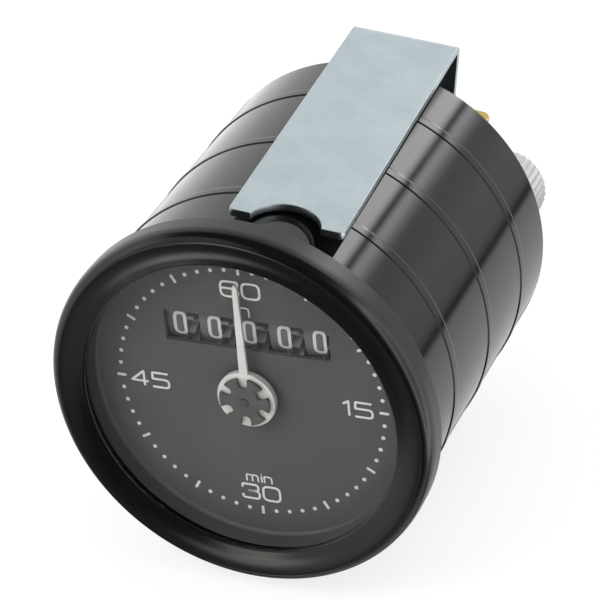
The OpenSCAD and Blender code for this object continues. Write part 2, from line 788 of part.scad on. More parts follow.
// U-shaped strip with a notched foot on each leg
module mounting_bracket() {
    notch_r = (pow(foot_notch_w / 2, 2) + pow(foot_notch_depth, 2)) / (2 * foot_notch_depth);
    plan_end = cross_rear + foot_corner + through;
    color([0.74, 0.78, 0.8]) clocked() translate([0, cross_rear, 0]) rotate([0, 0, bracket_lean])
        translate([0, -cross_rear, 0]) difference() {
            intersection() {
                plate_x(-bracket_w / 2, bracket_w) difference() {
                    round_span([-case_depth, -leg_outer], [cross_rear, leg_outer], bend_inner_r + bracket_t);
                    round_span([-2 * case_depth, -leg_inner], [cross_front, leg_inner], bend_inner_r);
                }
                translate([0, 0, -2 * leg_outer]) linear_extrude(4 * leg_outer)
                    round_span([-bracket_w / 2, bracket_front], [bracket_w / 2, plan_end], foot_corner);
            }
            translate([0, bracket_front + foot_notch_depth - notch_r, -2 * leg_outer])
                cylinder(r = notch_r, h = 4 * leg_outer);
            for (z = [-stud_offset, stud_offset])
                rod_y(0, z, cross_front - bracket_w, cross_rear + through, bracket_hole_r);
        }
}

module bracket_washers() {
    color([0.75, 0.76, 0.77]) at_studs() washer(clamp_washer_front, stud_r + loose_fit);
}

// Knurled thumb nut with a plain collar towards the bracket
module thumb_nut(z) {
    ridges = 28;
    knurl = 0.35;
    collar_t = 0.8;
    color([0.78, 0.65, 0.32]) clocked() translate([0, 0, z]) difference() {
        union() {
            rod_y(0, 0, thumb_front, thumb_front + collar_t + through / 2, thumb_d / 2 - 0.8);
            plate_y(thumb_front + collar_t, thumb_t - collar_t)
                polygon([for (i = [0 : 2 * ridges - 1])
                    (thumb_d / 2 - knurl * (i % 2)) * [cos(i * 180 / ridges), sin(i * 180 / ridges)]]);
        }
        rod_y(0, 0, thumb_front - through, thumb_front + thumb_t + through, stud_r + run_fit);
    }
}

module thumb_nut_upper() { thumb_nut(stud_offset); }
module thumb_nut_lower() { thumb_nut(-stud_offset); }

// Blades with a collar inside the rear wall and a tail that ends in the board
module blade_terminals() {
    tip = case_depth + blade_reach;
    bevel = 0.9;
    eye_r = 0.8;
    color([0.8, 0.66, 0.3]) clocked() for (side = [-1, 1])
        translate([side * blade_spot.x, 0, blade_spot.y - blade_t / 2]) linear_extrude(blade_t) difference() {
            union() {
                polygon([[-blade_w / 2, case_floor - 1], [-blade_w / 2, tip - bevel], [-blade_w / 2 + bevel, tip],
                         [blade_w / 2 - bevel, tip], [blade_w / 2, tip - bevel], [blade_w / 2, case_floor - 1]]);
                span([-blade_collar_w / 2, case_floor - blade_collar_t], [blade_collar_w / 2, case_floor]);
                span([-blade_tail_w / 2, board_front - 0.8], [blade_tail_w / 2, case_floor - 1]);
            }
            translate([0, tip - 3]) circle(eye_r);
        }
}

// Knurled grip with a neck through the rear wall, two locking lugs and a bulb socket
module lamp_holder() {
    ridges = 36;
    knurl = 0.35;
    nose_front = case_floor - lamp_nose;
    color([0.92, 0.92, 0.9]) clocked() translate([lamp_spot.x, 0, lamp_spot.y]) difference() {
        union() {
            plate_y(case_depth + run_fit, lamp_grip - run_fit)
                polygon([for (i = [0 : 2 * ridges - 1])
                    (lamp_d / 2 - knurl * (i % 2)) * [cos(i * 180 / ridges), sin(i * 180 / ridges)]]);
            rod_y(0, 0, case_depth + lamp_grip - through, case_depth + lamp_grip + lamp_cap_h, lamp_d / 2 - 1);
            rod_y(0, 0, nose_front, case_depth + through, lamp_neck_d / 2);
            plate_y(case_floor - lamp_lug_t - loose_fit, lamp_lug_t) square([2 * lamp_lug_r, lamp_lug_w], center = true);
        }
        rod_y(0, 0, nose_front - through, nose_front + lamp_socket_depth, bulb_d / 2 - 0.2 + fix_fit);
    }
}

// Sealed wedge-base bulb, one solid
module lamp_bulb() {
    nose_front = case_floor - lamp_nose;
    color([0.95, 0.95, 0.9, 0.6]) clocked() translate([lamp_spot.x, 0, lamp_spot.y]) {
        rod_y(0, 0, nose_front - through, nose_front + lamp_socket_depth - loose_fit, bulb_d / 2 - 0.2);
        rod_y(0, 0, nose_front - bulb_len + bulb_d / 2, nose_front - loose_fit, bulb_d / 2);
        translate([0, nose_front - bulb_len + bulb_d / 2, 0]) sphere(bulb_d / 2);
    }
}

case();
bezel();
lens();
lens_seal();
dial_ring();
dial();
minute_hand();
hand_arbor();
running_indicator();
indicator_spindle();
drum_units();
drum_tens();
drum_hundreds();
drum_thousands();
drum_ten_thousands();
transfer_pinion_tens();
transfer_pinion_hundreds();
transfer_pinion_thousands();
transfer_pinion_ten_thousands();
drive_pinion();
drum_axle();
pinion_axle();
counter_frame();
frame_screws();
movement_plate();
gearbox_front();
gearbox_rear();
gearbox_screws();
motor();
board_pillars();
circuit_board();
driver_chip();
quartz_crystal();
capacitor();
case_studs();
case_washers();
case_nuts();
mounting_bracket();
bracket_washers();
thumb_nut_upper();
thumb_nut_lower();
blade_terminals();
lamp_holder();
lamp_bulb();
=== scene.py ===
# Panel hour meter: the looks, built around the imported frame
import math

import bpy
from mathutils import Matrix, Vector


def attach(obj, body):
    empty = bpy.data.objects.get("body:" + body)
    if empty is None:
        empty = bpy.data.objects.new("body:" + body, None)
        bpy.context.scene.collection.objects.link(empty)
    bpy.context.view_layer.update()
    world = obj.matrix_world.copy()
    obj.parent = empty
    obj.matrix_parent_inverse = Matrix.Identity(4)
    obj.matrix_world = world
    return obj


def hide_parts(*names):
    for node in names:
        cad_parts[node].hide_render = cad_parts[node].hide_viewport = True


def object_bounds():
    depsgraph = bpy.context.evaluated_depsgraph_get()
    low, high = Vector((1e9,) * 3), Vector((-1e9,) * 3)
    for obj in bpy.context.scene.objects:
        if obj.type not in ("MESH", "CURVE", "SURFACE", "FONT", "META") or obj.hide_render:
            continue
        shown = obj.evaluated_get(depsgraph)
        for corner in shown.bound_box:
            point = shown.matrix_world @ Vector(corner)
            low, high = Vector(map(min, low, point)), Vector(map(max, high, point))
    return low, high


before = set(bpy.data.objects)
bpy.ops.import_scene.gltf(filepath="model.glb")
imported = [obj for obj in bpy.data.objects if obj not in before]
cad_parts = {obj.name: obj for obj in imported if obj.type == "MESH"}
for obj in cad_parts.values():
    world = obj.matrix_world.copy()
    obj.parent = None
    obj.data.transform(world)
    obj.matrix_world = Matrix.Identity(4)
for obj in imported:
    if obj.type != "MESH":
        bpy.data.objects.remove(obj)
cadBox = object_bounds()
mm = 0.001  # lengths below are in millimetres unless a note says metres
nearPoints = 0.001 * mm  # points closer than this are one
fullTurn = 2 * math.pi
rearClock = math.radians(8)  # the rear fittings stand turned by this about the case's axis
rearPlan = {"studs": 16.5, "blades": (11.1855, 16.4589), "lamp": (17.413, 6.098)}  # before that turn
scene = bpy.context.scene
scene.view_settings.view_transform = "Standard"
print("frame loaded with", len(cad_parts), "nodes")


# picking and edit mode

def letGo():
    if bpy.context.object and bpy.context.object.mode != "OBJECT":
        bpy.ops.object.mode_set(mode="OBJECT")
    bpy.ops.object.select_all(action="DESELECT")


def pickOnly(piece):
    letGo()
    piece.select_set(True)
    bpy.context.view_layer.objects.active = piece


def editAll(piece):
    pickOnly(piece)
    bpy.ops.object.mode_set(mode="EDIT")
    bpy.ops.mesh.select_all(action="SELECT")


def leaveEdit():
    bpy.ops.object.mode_set(mode="OBJECT")


def mergeNear():
    bpy.ops.mesh.remove_doubles(threshold=nearPoints)
    bpy.ops.mesh.select_all(action="SELECT")


def facesOut():
    # the last step in edit mode
    bpy.ops.mesh.select_all(action="SELECT")
    bpy.ops.mesh.normals_make_consistent(inside=False)
    leaveEdit()


def takeUp(name):
    piece = bpy.context.object
    piece.name = name
    piece.data.name = name
    return piece


def applyPlace():
    bpy.ops.object.transform_apply(location=True, rotation=True, scale=True)


def settle(piece, turn=(0, 0, 0), move=(0, 0, 0)):
    pickOnly(piece)
    piece.rotation_euler = turn
    piece.location = Vector(move) * mm
    applyPlace()


# camera first, placed from the photograph (metres)

cameraSetup = {
    "place": (0.13914, -0.28473, 0.20543),
    "right": (0.92569018, 0.36937953, -0.08158704),
    "up": (-0.12730027, 0.50728147, 0.85232632),
    "back": (0.35621949, -0.77860405, 0.51660759),
    "lens": 167.0,
    "sensor": 36.0,
}


def setCamera(setup):
    letGo()
    bpy.ops.object.camera_add()
    camera = bpy.context.object
    camera.name = "photoCamera"
    turn = Matrix((setup["right"], setup["up"], setup["back"])).transposed()
    camera.matrix_world = Matrix.Translation(setup["place"]) @ turn.to_4x4()
    camera.data.lens = setup["lens"]
    camera.data.sensor_width = setup["sensor"]
    camera.data.clip_start = 0.01
    scene.camera = camera


setCamera(cameraSetup)
print("camera set")


# shaping helpers

def roundCorners(corners, closed=True, radius=0.0, steps=5):
    # each corner is (a, b) or (a, b, its own radius)
    path = []
    count = len(corners)
    for i, corner in enumerate(corners):
        here = Vector(corner[:2])
        bend = corner[2] if len(corner) > 2 else radius
        isEnd = not closed and i in (0, count - 1)
        if isEnd or bend <= 0:
            path.append(tuple(here))
            continue
        back = Vector(corners[i - 1][:2]) - here
        ahead = Vector(corners[(i + 1) % count][:2]) - here
        reach = min(bend, 0.48 * back.length, 0.48 * ahead.length)
        start = here + back.normalized() * reach
        end = here + ahead.normalized() * reach
        for k in range(steps + 1):
            t = k / steps
            point = start * (1 - t) ** 2 + here * 2 * t * (1 - t) + end * t ** 2
            path.append(tuple(point))
    return path


def circlePath(radius, centre=(0, 0), count=48):
    angles = [fullTurn * i / count for i in range(count)]
    return [(centre[0] + radius * math.cos(a), centre[1] + radius * math.sin(a)) for a in angles]


def shortSteps(points, closed, longest):
    # long straights get points in between, so that they can follow a curve
    path = []
    ends = points[1:] + points[:1] if closed else points[1:]
    for here, there in zip(points, ends):
        count = max(1, math.ceil(math.dist(here, there) / longest))
        for k in range(count):
            t = k / count
            path.append(tuple(a + (b - a) * t for a, b in zip(here, there)))
    if not closed:
        path.append(points[-1])
    return path


def drawLine(name, points):
    # one vertex is pulled from point to point
    letGo()
    bpy.ops.mesh.primitive_plane_add(size=mm)
    piece = takeUp(name)
    editAll(piece)
    bpy.ops.mesh.merge(type="CENTER")
    bpy.ops.transform.translate(value=Vector(points[0]) * mm)
    for last, point in zip(points, points[1:]):
        step = (Vector(point) - Vector(last)) * mm
        bpy.ops.mesh.extrude_region_move(TRANSFORM_OT_translate={"value": step})
    bpy.ops.mesh.select_all(action="SELECT")
    return piece


def pullSolid(name, outline, pull):
    # a closed outline is filled, then pulled into a solid
    piece = drawLine(name, outline + outline[:1])
    mergeNear()
    bpy.ops.mesh.edge_face_add()
    bpy.ops.mesh.extrude_region_move(TRANSFORM_OT_translate={"value": Vector(pull) * mm})
    facesOut()
    return piece


def spinPiece(name, profile, steps):
    # a closed profile of (radius, y) goes once round the y axis
    points = [(r, y, 0) for r, y in roundCorners(profile)]
    piece = drawLine(name, points + points[:1])
    mergeNear()
    bpy.ops.mesh.spin(steps=steps, angle=fullTurn, use_auto_merge=True, center=(0, 0, 0), axis=(0, 1, 0))
    bpy.ops.mesh.select_all(action="SELECT")
    mergeNear()
    bpy.ops.mesh.delete_loose(use_faces=False)
    facesOut()
    return piece


def curveMesh(name, lines, **settings):
    # lines of (points, closed) become one curve, and the curve a mesh
    curve = bpy.data.curves.new(name, "CURVE")
    for key, value in settings.items():
        setattr(curve, key, value)
    for points, closed in lines:
        line = curve.splines.new("POLY")
        line.points.add(len(points) - 1)
        for spot, (u, w) in zip(line.points, points):
            spot.co = (u * mm, w * mm, 0, 1)
        line.use_cyclic_u = closed
    piece = bpy.data.objects.new(name, curve)
    scene.collection.objects.link(piece)
    pickOnly(piece)
    bpy.ops.object.convert(target="MESH")
    return takeUp(name)


# a flat sheet is drawn on u and w, which these turn
facingFront = Matrix(((1, 0, 0), (0, 0, -1), (0, 1, 0))).to_4x4()  # onto x and z, front to -y
facingUp = Matrix.Identity(4)  # onto x and y, front to +z


def cutSheet(name, loops, thick, rim, facing, move):
    # outlines become a sheet with its edges broken by rim, its middle at move
    piece = curveMesh(name, [(loop, True) for loop in loops], dimensions="2D", fill_mode="BOTH",
                      extrude=(thick / 2 - rim) * mm, bevel_depth=rim * mm, bevel_resolution=1,
                      offset=-rim * mm)
    piece.matrix_world = Matrix.Translation(Vector(move) * mm) @ facing
    applyPlace()
    editAll(piece)
    mergeNear()
    facesOut()
    return piece


def frontSheet(name, loops, shape):
    middle = (0, shape["front"] + shape["thick"] / 2, 0)
    return cutSheet(name, loops, shape["thick"], shape["rim"], facingFront, middle)


def penStrokes(name, lines, width, height):
    # lines of a round pen, pressed flat to the given height
    piece = curveMesh(name, lines, dimensions="3D", bevel_depth=width / 2 * mm, bevel_resolution=1,
                      use_fill_caps=True)
    piece.scale = (1, 1, height / width)
    applyPlace()
    return piece


def softEdges(piece, width, angle):
    pickOnly(piece)
    soft = piece.modifiers.new("softEdges", "BEVEL")
    soft.width = width * mm
    soft.segments = 2
    soft.limit_method = "ANGLE"
    soft.angle_limit = math.radians(angle)
    bpy.ops.object.modifier_apply(modifier=soft.name)


def workWith(piece, cutter, operation="DIFFERENCE"):
    pickOnly(piece)
    tool = piece.modifiers.new("tool", "BOOLEAN")
    tool.operation = operation
    tool.solver = "EXACT"
    tool.object = cutter
    bpy.ops.object.modifier_apply(modifier=tool.name)
    bpy.data.objects.remove(cutter)


def rodCutter(place, radius, y0, y1, sides=48):
    letGo()
    middle = Vector((place[0], (y0 + y1) / 2, place[1])) * mm
    bpy.ops.mesh.primitive_cylinder_add(vertices=sides, radius=radius * mm, depth=(y1 - y0) * mm,
                                        location=middle, rotation=(math.pi / 2, 0, 0))
    applyPlace()
    return takeUp("cutter")


def boxCutter(middle, sizes, turn=(0, 0, 0)):
    letGo()
    bpy.ops.mesh.primitive_cube_add(size=1, location=Vector(middle) * mm, rotation=turn)
    cutter = takeUp("cutter")
    cutter.scale = Vector(sizes) * mm
    applyPlace()
    return cutter


def joinUp(pieces, name):
    letGo()
    for piece in pieces:
        piece.select_set(True)
    bpy.context.view_layer.objects.active = pieces[0]
    bpy.ops.object.join()
    return takeUp(name)


def clocked(u, w):
    # a place on the rear, turned with the rear fittings
    c = math.cos(rearClock)
    s = math.sin(rearClock)
    return (u * c + w * s, w * c - u * s)


def finishPiece(piece, finish, body, nodes=(), angle=38):
    pickOnly(piece)
    bpy.ops.object.shade_smooth_by_angle(angle=math.radians(angle))
    even = piece.modifiers.new("evenShading", "WEIGHTED_NORMAL")  # flats stay flat beside round edges
    even.keep_sharp = True
    bpy.ops.object.modifier_apply(modifier=even.name)
    piece.data.materials.clear()
    piece.data.materials.append(finishes[finish])
    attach(piece, body)
    if nodes:
        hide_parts(*nodes)


# finishes

def ink(red, green, blue):
    # screen colour 0-255 to the linear colour that a shader takes
    parts = [c / 255 for c in (red, green, blue)]
    line = [c / 12.92 if c <= 0.04045 else ((c + 0.055) / 1.055) ** 2.4 for c in parts]
    return (*line, 1.0)


def feed(tree, node, inputs):
    # a socket is joined to the input, anything else is set as its value
    for key, value in inputs.items():
        if isinstance(value, bpy.types.NodeSocket):
            tree.links.new(value, node.inputs[key])
        else:
            node.inputs[key].default_value = value


def addNode(tree, kind, inputs, **settings):
    node = tree.nodes.new("ShaderNode" + kind)
    for key, value in settings.items():
        setattr(node, key, value)
    feed(tree, node, inputs)
    return node


def combine(tree, operation, first, second):
    return addNode(tree, "Math", {0: first, 1: second}, operation=operation).outputs["Value"]


def remap(tree, source, low, high, toLow=0.0, toHigh=1.0, interpolation="LINEAR"):
    # the span from low to high is taken to the span from toLow to toHigh
    node = addNode(tree, "MapRange", {"Value": source, "From Min": low, "From Max": high, "To Min": toLow,
                                      "To Max": toHigh}, interpolation_type=interpolation)
    return node.outputs["Result"]


def addRamp(tree, source, stops, interpolation="LINEAR"):
    # colours by (place, colour) stops, the first and last stop included
    ramp = addNode(tree, "ValToRGB", {"Fac": source})
    ramp.color_ramp.interpolation = interpolation
    points = ramp.color_ramp.elements
    for point, (place, colour) in zip(points, (stops[0], stops[-1])):
        point.position = place
        point.color = colour
    for place, colour in stops[1:-1]:
        points.new(place).color = colour
    return ramp.outputs["Color"]


def newFinish(name):
    finish = bpy.data.materials.new(name)
    finish.use_nodes = True
    return finish, finish.node_tree, finish.node_tree.nodes["Principled BSDF"]


def makeFinish(name, look):
    # two shades in clouds, grain in the roughness and a fine relief
    finish, tree, shader = newFinish(name)
    coords = addNode(tree, "TexCoord", {})
    mapping = addNode(tree, "Mapping", {"Vector": coords.outputs["Object"],
                                        "Scale": look.get("stretch", (1, 1, 1))})
    place = mapping.outputs["Vector"]
    clouds = addNode(tree, "TexNoise", {"Vector": place, "Scale": look["clouds"], "Detail": 5.0,
                                        "Roughness": 0.6})
    shades = addRamp(tree, clouds.outputs["Fac"], [(0.32, ink(*look["dark"])), (0.68, ink(*look["light"]))])
    grain = addNode(tree, "TexNoise", {"Vector": place, "Scale": look["grain"], "Detail": 3.0})
    rough = remap(tree, grain.outputs["Fac"], 0.3, 0.7, *look["rough"])
    relief = addNode(tree, "Bump", {"Height": grain.outputs["Fac"], "Strength": look.get("relief", 0.3),
                                    "Distance": look.get("depth", 0.01) * mm})
    feed(tree, shader, {
        "Base Color": shades, "Roughness": rough, "Normal": relief.outputs["Normal"],
        "Metallic": look.get("metal", 0.0), "Specular IOR Level": look.get("shine", 0.5),
        "Specular Tint": look.get("sheenTint", (1, 1, 1, 1)),
    })
    return finish


def axisReach(tree, place, keep):
    # distance from an axis through place: keep is 0 along the axis and 1 across it
    coords = addNode(tree, "TexCoord", {})
    across = addNode(tree, "Mapping", {"Vector": coords.outputs["Object"], "Scale": keep,
                                       "Location": [-c * mm for c in place]})
    return addNode(tree, "VectorMath", {0: across.outputs["Vector"]}, operation="LENGTH").outputs["Value"]


finishLooks = {
    "caseGloss": {"dark": (9, 9, 10), "light": (15, 15, 15), "clouds": 260, "grain": 90,
                  "rough": (0.05, 0.09), "relief": 0.2, "depth": 0.02},
    "bezelSatin": {"dark": (7, 9, 7), "light": (11, 13, 11), "clouds": 420, "grain": 2600,
                   "rough": (0.12, 0.17), "relief": 0.05, "depth": 0.002, "shine": 0.55,
                   "sheenTint": (0.985, 1.0, 0.93, 1.0)},
    "sealRubber": {"dark": (16, 16, 16), "light": (26, 26, 26), "clouds": 700, "grain": 4000,
                   "rough": (0.7, 0.9)},
    "ringGrey": {"dark": (69, 69, 70), "light": (74, 74, 74), "clouds": 120, "grain": 2600,
                 "rough": (0.5, 0.6), "relief": 0.05, "depth": 0.003, "shine": 0.3},
    "dialGrey": {"dark": (71, 71, 72), "light": (76, 76, 76), "clouds": 120, "grain": 2600,
                 "rough": (0.58, 0.68), "relief": 0.05, "depth": 0.003, "shine": 0.25},
    "printWhite": {"dark": (200, 201, 196), "light": (214, 215, 210), "clouds": 900, "grain": 6000,
                   "rough": (0.5, 0.65), "shine": 0.3},
    "counterWhite": {"dark": (184, 186, 183), "light": (198, 200, 197), "clouds": 900, "grain": 6000,
                     "rough": (0.5, 0.65), "shine": 0.3},
    "handWhite": {"dark": (195, 196, 191), "light": (207, 208, 203), "clouds": 500, "grain": 5000,
                  "rough": (0.42, 0.55), "shine": 0.4},
    "rotorDark": {"dark": (62, 62, 61), "light": (72, 72, 70), "clouds": 500, "grain": 5200,
                  "rough": (0.45, 0.6)},
    "spindleDark": {"dark": (56, 56, 55), "light": (66, 66, 64), "clouds": 900, "grain": 5000,
                    "rough": (0.45, 0.6), "metal": 0.3},
    "pinionNatural": {"dark": (206, 202, 188), "light": (222, 218, 204), "clouds": 500, "grain": 3000,
                      "rough": (0.4, 0.55)},
    "brassBright": {"dark": (176, 148, 78), "light": (204, 178, 104), "clouds": 380, "grain": 2600,
                    "rough": (0.22, 0.38), "metal": 1.0},
    "steelPolished": {"dark": (150, 151, 150), "light": (178, 178, 176), "clouds": 500, "grain": 2600,
                      "rough": (0.24, 0.38), "metal": 1.0, "stretch": (1, 0.2, 1)},
    "zincPlate": {"dark": (183, 195, 199), "light": (193, 205, 209), "clouds": 180, "grain": 1100,
                  "rough": (0.3, 0.4), "metal": 1.0, "relief": 0.12, "depth": 0.01},
    "plateDark": {"dark": (56, 58, 60), "light": (70, 72, 74), "clouds": 300, "grain": 2500,
                  "rough": (0.45, 0.6)},
    "gearboxIvory": {"dark": (206, 200, 180), "light": (220, 215, 196), "clouds": 220, "grain": 3200,
                     "rough": (0.4, 0.55)},
    "boardGreen": {"dark": (26, 74, 46), "light": (36, 92, 58), "clouds": 450, "grain": 2600,
                   "rough": (0.3, 0.45)},
    "chipBlack": {"dark": (24, 24, 26), "light": (34, 34, 36), "clouds": 900, "grain": 6000,
                  "rough": (0.5, 0.65)},
    "capacitorBlue": {"dark": (34, 52, 104), "light": (44, 64, 122), "clouds": 500, "grain": 3000,
                      "rough": (0.3, 0.42)},
    "lampWhite": {"dark": (222, 222, 220), "light": (236, 236, 234), "clouds": 320, "grain": 3600,
                  "rough": (0.38, 0.52), "relief": 0.2},
}  # shades on the screen's scale 0-255, noise scales per metre, depth in millimetres
finishes = {name: makeFinish(name, look) for name, look in finishLooks.items()}


def makeDrumFinish(name, look):
    # bands by distance from the drums' axis: the gaps between the teeth lighter as painted light against
    # their shade, the tooth tips lighter as a painted highlight, then the numbered face in the drums' own
    # grey
    finish = makeFinish(name, look)
    tree = finish.node_tree
    shader = tree.nodes["Principled BSDF"]
    near, far = look["reach"]
    reach = remap(tree, axisReach(tree, look["axis"], (0, 1, 1)), near * mm, far * mm)
    # the gap and tip shades are painted light: gaps lifted against their shade, a painted highlight on the
    # tooth tips
    stops = [(0.0, look["gapPaintedLight"]), (look["tipHighlightFrom"], look["tip"]), (look["faceFrom"], look["face"])]
    inked = [(place, ink(*shade)) for place, shade in stops]
    bands = addRamp(tree, reach, inked, "CONSTANT")
    shades = shader.inputs["Base Color"].links[0].from_socket
    tint = addNode(tree, "Mix", {"Factor": 1.0, "A": bands, "B": shades}, data_type="RGBA",
                   blend_type="MULTIPLY")
    feed(tree, shader, {"Base Color": tint.outputs["Result"]})
    return finish


drumLook = {
    "dark": (238, 238, 238), "light": (255, 255, 255), "clouds": 400, "grain": 5200,
    "rough": (0.5, 0.62), "shine": 0.3, "axis": (0, 9.3, 9.3), "reach": (6.0, 7.4), "tipHighlightFrom": 0.75,
    # gap and tip are painted light, lighter than the face: painted fill in the shaded gaps and a painted
    # highlight on the tooth tips; face is the drums' own grey
    "faceFrom": 0.83, "gapPaintedLight": (124, 124, 125), "tip": (112, 112, 111), "face": (94, 94, 94),
}
finishes["drumGrey"] = makeDrumFinish("drumGrey", drumLook)

lensLook = {"bend": 1.22, "rough": 0.01, "tint": (0.985, 0.99, 0.985, 1.0), "dust": 3500}


def makeLensFinish(name, look):
    # clear with a little dust, and no shadow of its own
    finish, tree, glass = newFinish(name)
    coords = addNode(tree, "TexCoord", {})
    dust = addNode(tree, "TexNoise", {"Vector": coords.outputs["Object"], "Scale": look["dust"],
                                      "Detail": 2.0})
    haze = remap(tree, dust.outputs["Fac"], 0.62, 0.8, look["rough"], 4 * look["rough"])
    feed(tree, glass, {"Base Color": look["tint"], "Transmission Weight": 1.0, "IOR": look["bend"],
                       "Roughness": haze})
    paths = addNode(tree, "LightPath", {})
    clear = addNode(tree, "BsdfTransparent", {})
    mix = addNode(tree, "MixShader", {"Fac": paths.outputs["Is Shadow Ray"], 1: glass.outputs["BSDF"],
                                      2: clear.outputs["BSDF"]})
    feed(tree, tree.nodes["Material Output"], {"Surface": mix.outputs["Shader"]})
    return finish


finishes["lensClear"] = makeLensFinish("lensClear", lensLook)
finishes["bulbClear"] = makeLensFinish("bulbClear", {**lensLook, "bend": 1.45, "rough": 0.03})
print("finishes made:", len(finishes))


# bezel: rolled black rim with a dished lip

bezelShape = {
    "profile": [(27.65, 0.0, 0.2), (27.72, -2.9, 0.5), (27.55, -3.9, 0.3), (27.25, -4.5, 0.32),
                (26.6, -4.92, 0.4), (25.85, -4.87, 0.42), (25.0, -4.76, 0.42), (24.15, -4.6, 0.42),
                (23.3, -4.37, 0.3), (22.88, -4.26, 0.12), (22.66, -4.12, 0.08), (22.7, -3.5, 0.06),
                (27.0, -3.5, 0.05), (27.0, -0.6, 0.05), (26.05, -0.6, 0.08), (26.05, 0.0, 0.12)],
    "steps": 192, "dullWall": (27.45, 27.62, 0.2),  # radius from and to, and the roughness added there
}


def roughenWall(finish, inner, outer, extra):
    # the rim's wall is duller than its handled face
    tree = finish.node_tree
    shader = tree.nodes["Principled BSDF"]
    dull = remap(tree, axisReach(tree, (0, 0, 0), (1, 0, 1)), inner * mm, outer * mm, 0.0, extra)
    before = shader.inputs["Roughness"].links[0].from_socket
    feed(tree, shader, {"Roughness": combine(tree, "ADD", before, dull)})


roughenWall(finishes["bezelSatin"], *bezelShape["dullWall"])
bezelRim = spinPiece("bezelRim", bezelShape["profile"], bezelShape["steps"])
finishPiece(bezelRim, "bezelSatin", "housing", ["bezel"])
print("bezel made")


# case: moulded cup with three raised rings, bosses inside and openings in its rear wall

caseShape = {
    "outer": 26.0, "inner": 24.2, "flange": 26.9, "front": -1.6, "flangeRear": -0.6, "rear": 50.2,
    "floor": 48.2, "floorCorner": 0.4, "ledge": (23.2, 1.7, 3.2), "rings": (9.6, 24.25, 38.9),
    "ringWide": 1.8, "ringHigh": 0.15, "ringRise": 0.09, "ringFall": 0.34, "edge": 0.8,
    "studHole": 2.05, "boss": 4.2, "bossFront": 23.87, "bladeSlot": (5.0, 3, 1.0), "lampHole": 4.5,
    "lugSlot": (2.4, 3, 11.0), "steps": 192,
}


def caseProfile(shape):
    outer, inner, rear = shape["outer"], shape["inner"], shape["rear"]
    ledgeRadius, ledgeFront, ledgeRear = shape["ledge"]
    profile = [(inner, shape["front"], 0.1), (shape["flange"], shape["front"], 0.12),
               (shape["flange"], shape["flangeRear"], 0.12), (outer, shape["flangeRear"], 0.1)]
    top = outer + shape["ringHigh"]
    for y in shape["rings"]:
        ringRear = y + shape["ringWide"]
        profile += [(outer, y, 0.04), (top, y + shape["ringRise"], 0.06),
                    (top, ringRear - shape["ringFall"], 0.1), (outer, ringRear, 0.06)]
    profile += [(outer, rear, shape["edge"]), (0, rear), (0, shape["floor"]),
                (inner, shape["floor"], shape["floorCorner"]), (inner, ledgeRear, 0.05),
                (ledgeRadius, ledgeRear, 0.08), (ledgeRadius, ledgeFront, 0.05), (inner, ledgeFront, 0.05)]
    return profile


def makeCase(shape):
    cup = spinPiece("caseCup", caseProfile(shape), shape["steps"])
    floor, rear, bossFront = shape["floor"], shape["rear"], shape["bossFront"]
    studSpots = [clocked(0, side * rearPlan["studs"]) for side in (-1, 1)]
    for spot in studSpots:
        workWith(cup, rodCutter(spot, shape["boss"], bossFront, floor + 0.5), "UNION")
    for spot in studSpots:
        workWith(cup, rodCutter(spot, shape["studHole"], bossFront - 1, rear + 1))
    wall = (floor + rear) / 2
    for side in (-1, 1):
        u, w = clocked(side * rearPlan["blades"][0], rearPlan["blades"][1])
        workWith(cup, boxCutter((u, wall, w), shape["bladeSlot"], (0, rearClock, 0)))
    u, w = clocked(*rearPlan["lamp"])
    workWith(cup, rodCutter((u, w), shape["lampHole"], floor - 0.5, rear + 0.5))
    workWith(cup, boxCutter((u, wall, w), shape["lugSlot"], (0, rearClock, 0)))
    return cup


caseCup = makeCase(caseShape)
finishPiece(caseCup, "caseGloss", "housing", ["case"])
print("case made")


# front stack: lens, spacer ring, dial with its window

lensShape = {"profile": [(0, -3.5), (26.8, -3.5, 0.15), (26.8, -2.0, 0.15), (0, -2.0)], "steps": 160}
lensDisc = spinPiece("lensDisc", **lensShape)
finishPiece(lensDisc, "lensClear", "housing", ["lens"])

ringShape = {
    "profile": [(23.2, -2.0, 0.05), (23.36, -2.0, 0.04), (23.6, -1.0, 0.1), (24.1, -1.0, 0.05),
                (24.1, 0.9, 0.05), (22.8, 0.9, 0.02), (23.15, 0.5, 0.3)],
    "steps": 160,
}
spacerRing = spinPiece("spacerRing", **ringShape)
finishPiece(spacerRing, "ringGrey", "housing", ["dial_ring"])

dialShape = {"radius": 24.1, "hole": 1.8, "window": (24.0, 4.7), "windowAt": (0.25, 9.3), "front": 0.9,
             "thick": 0.8, "rim": 0.08, "corner": 0.25}


def rectPath(size, centre, corner):
    halfW, halfH = size[0] / 2, size[1] / 2
    u, w = centre
    corners = [(u - halfW, w - halfH), (u + halfW, w - halfH), (u + halfW, w + halfH), (u - halfW, w + halfH)]
    return roundCorners(corners, radius=corner, steps=4)


def makeDial(shape):
    loops = [circlePath(shape["radius"], count=160), circlePath(shape["hole"], count=48),
             rectPath(shape["window"], shape["windowAt"], shape["corner"])]
    return frontSheet("dialPlate", loops, shape)


dialPlate = makeDial(dialShape)
finishPiece(dialPlate, "dialGrey", "housing", ["dial"])
print("lens, spacer ring and dial made")


# printed marks and figures

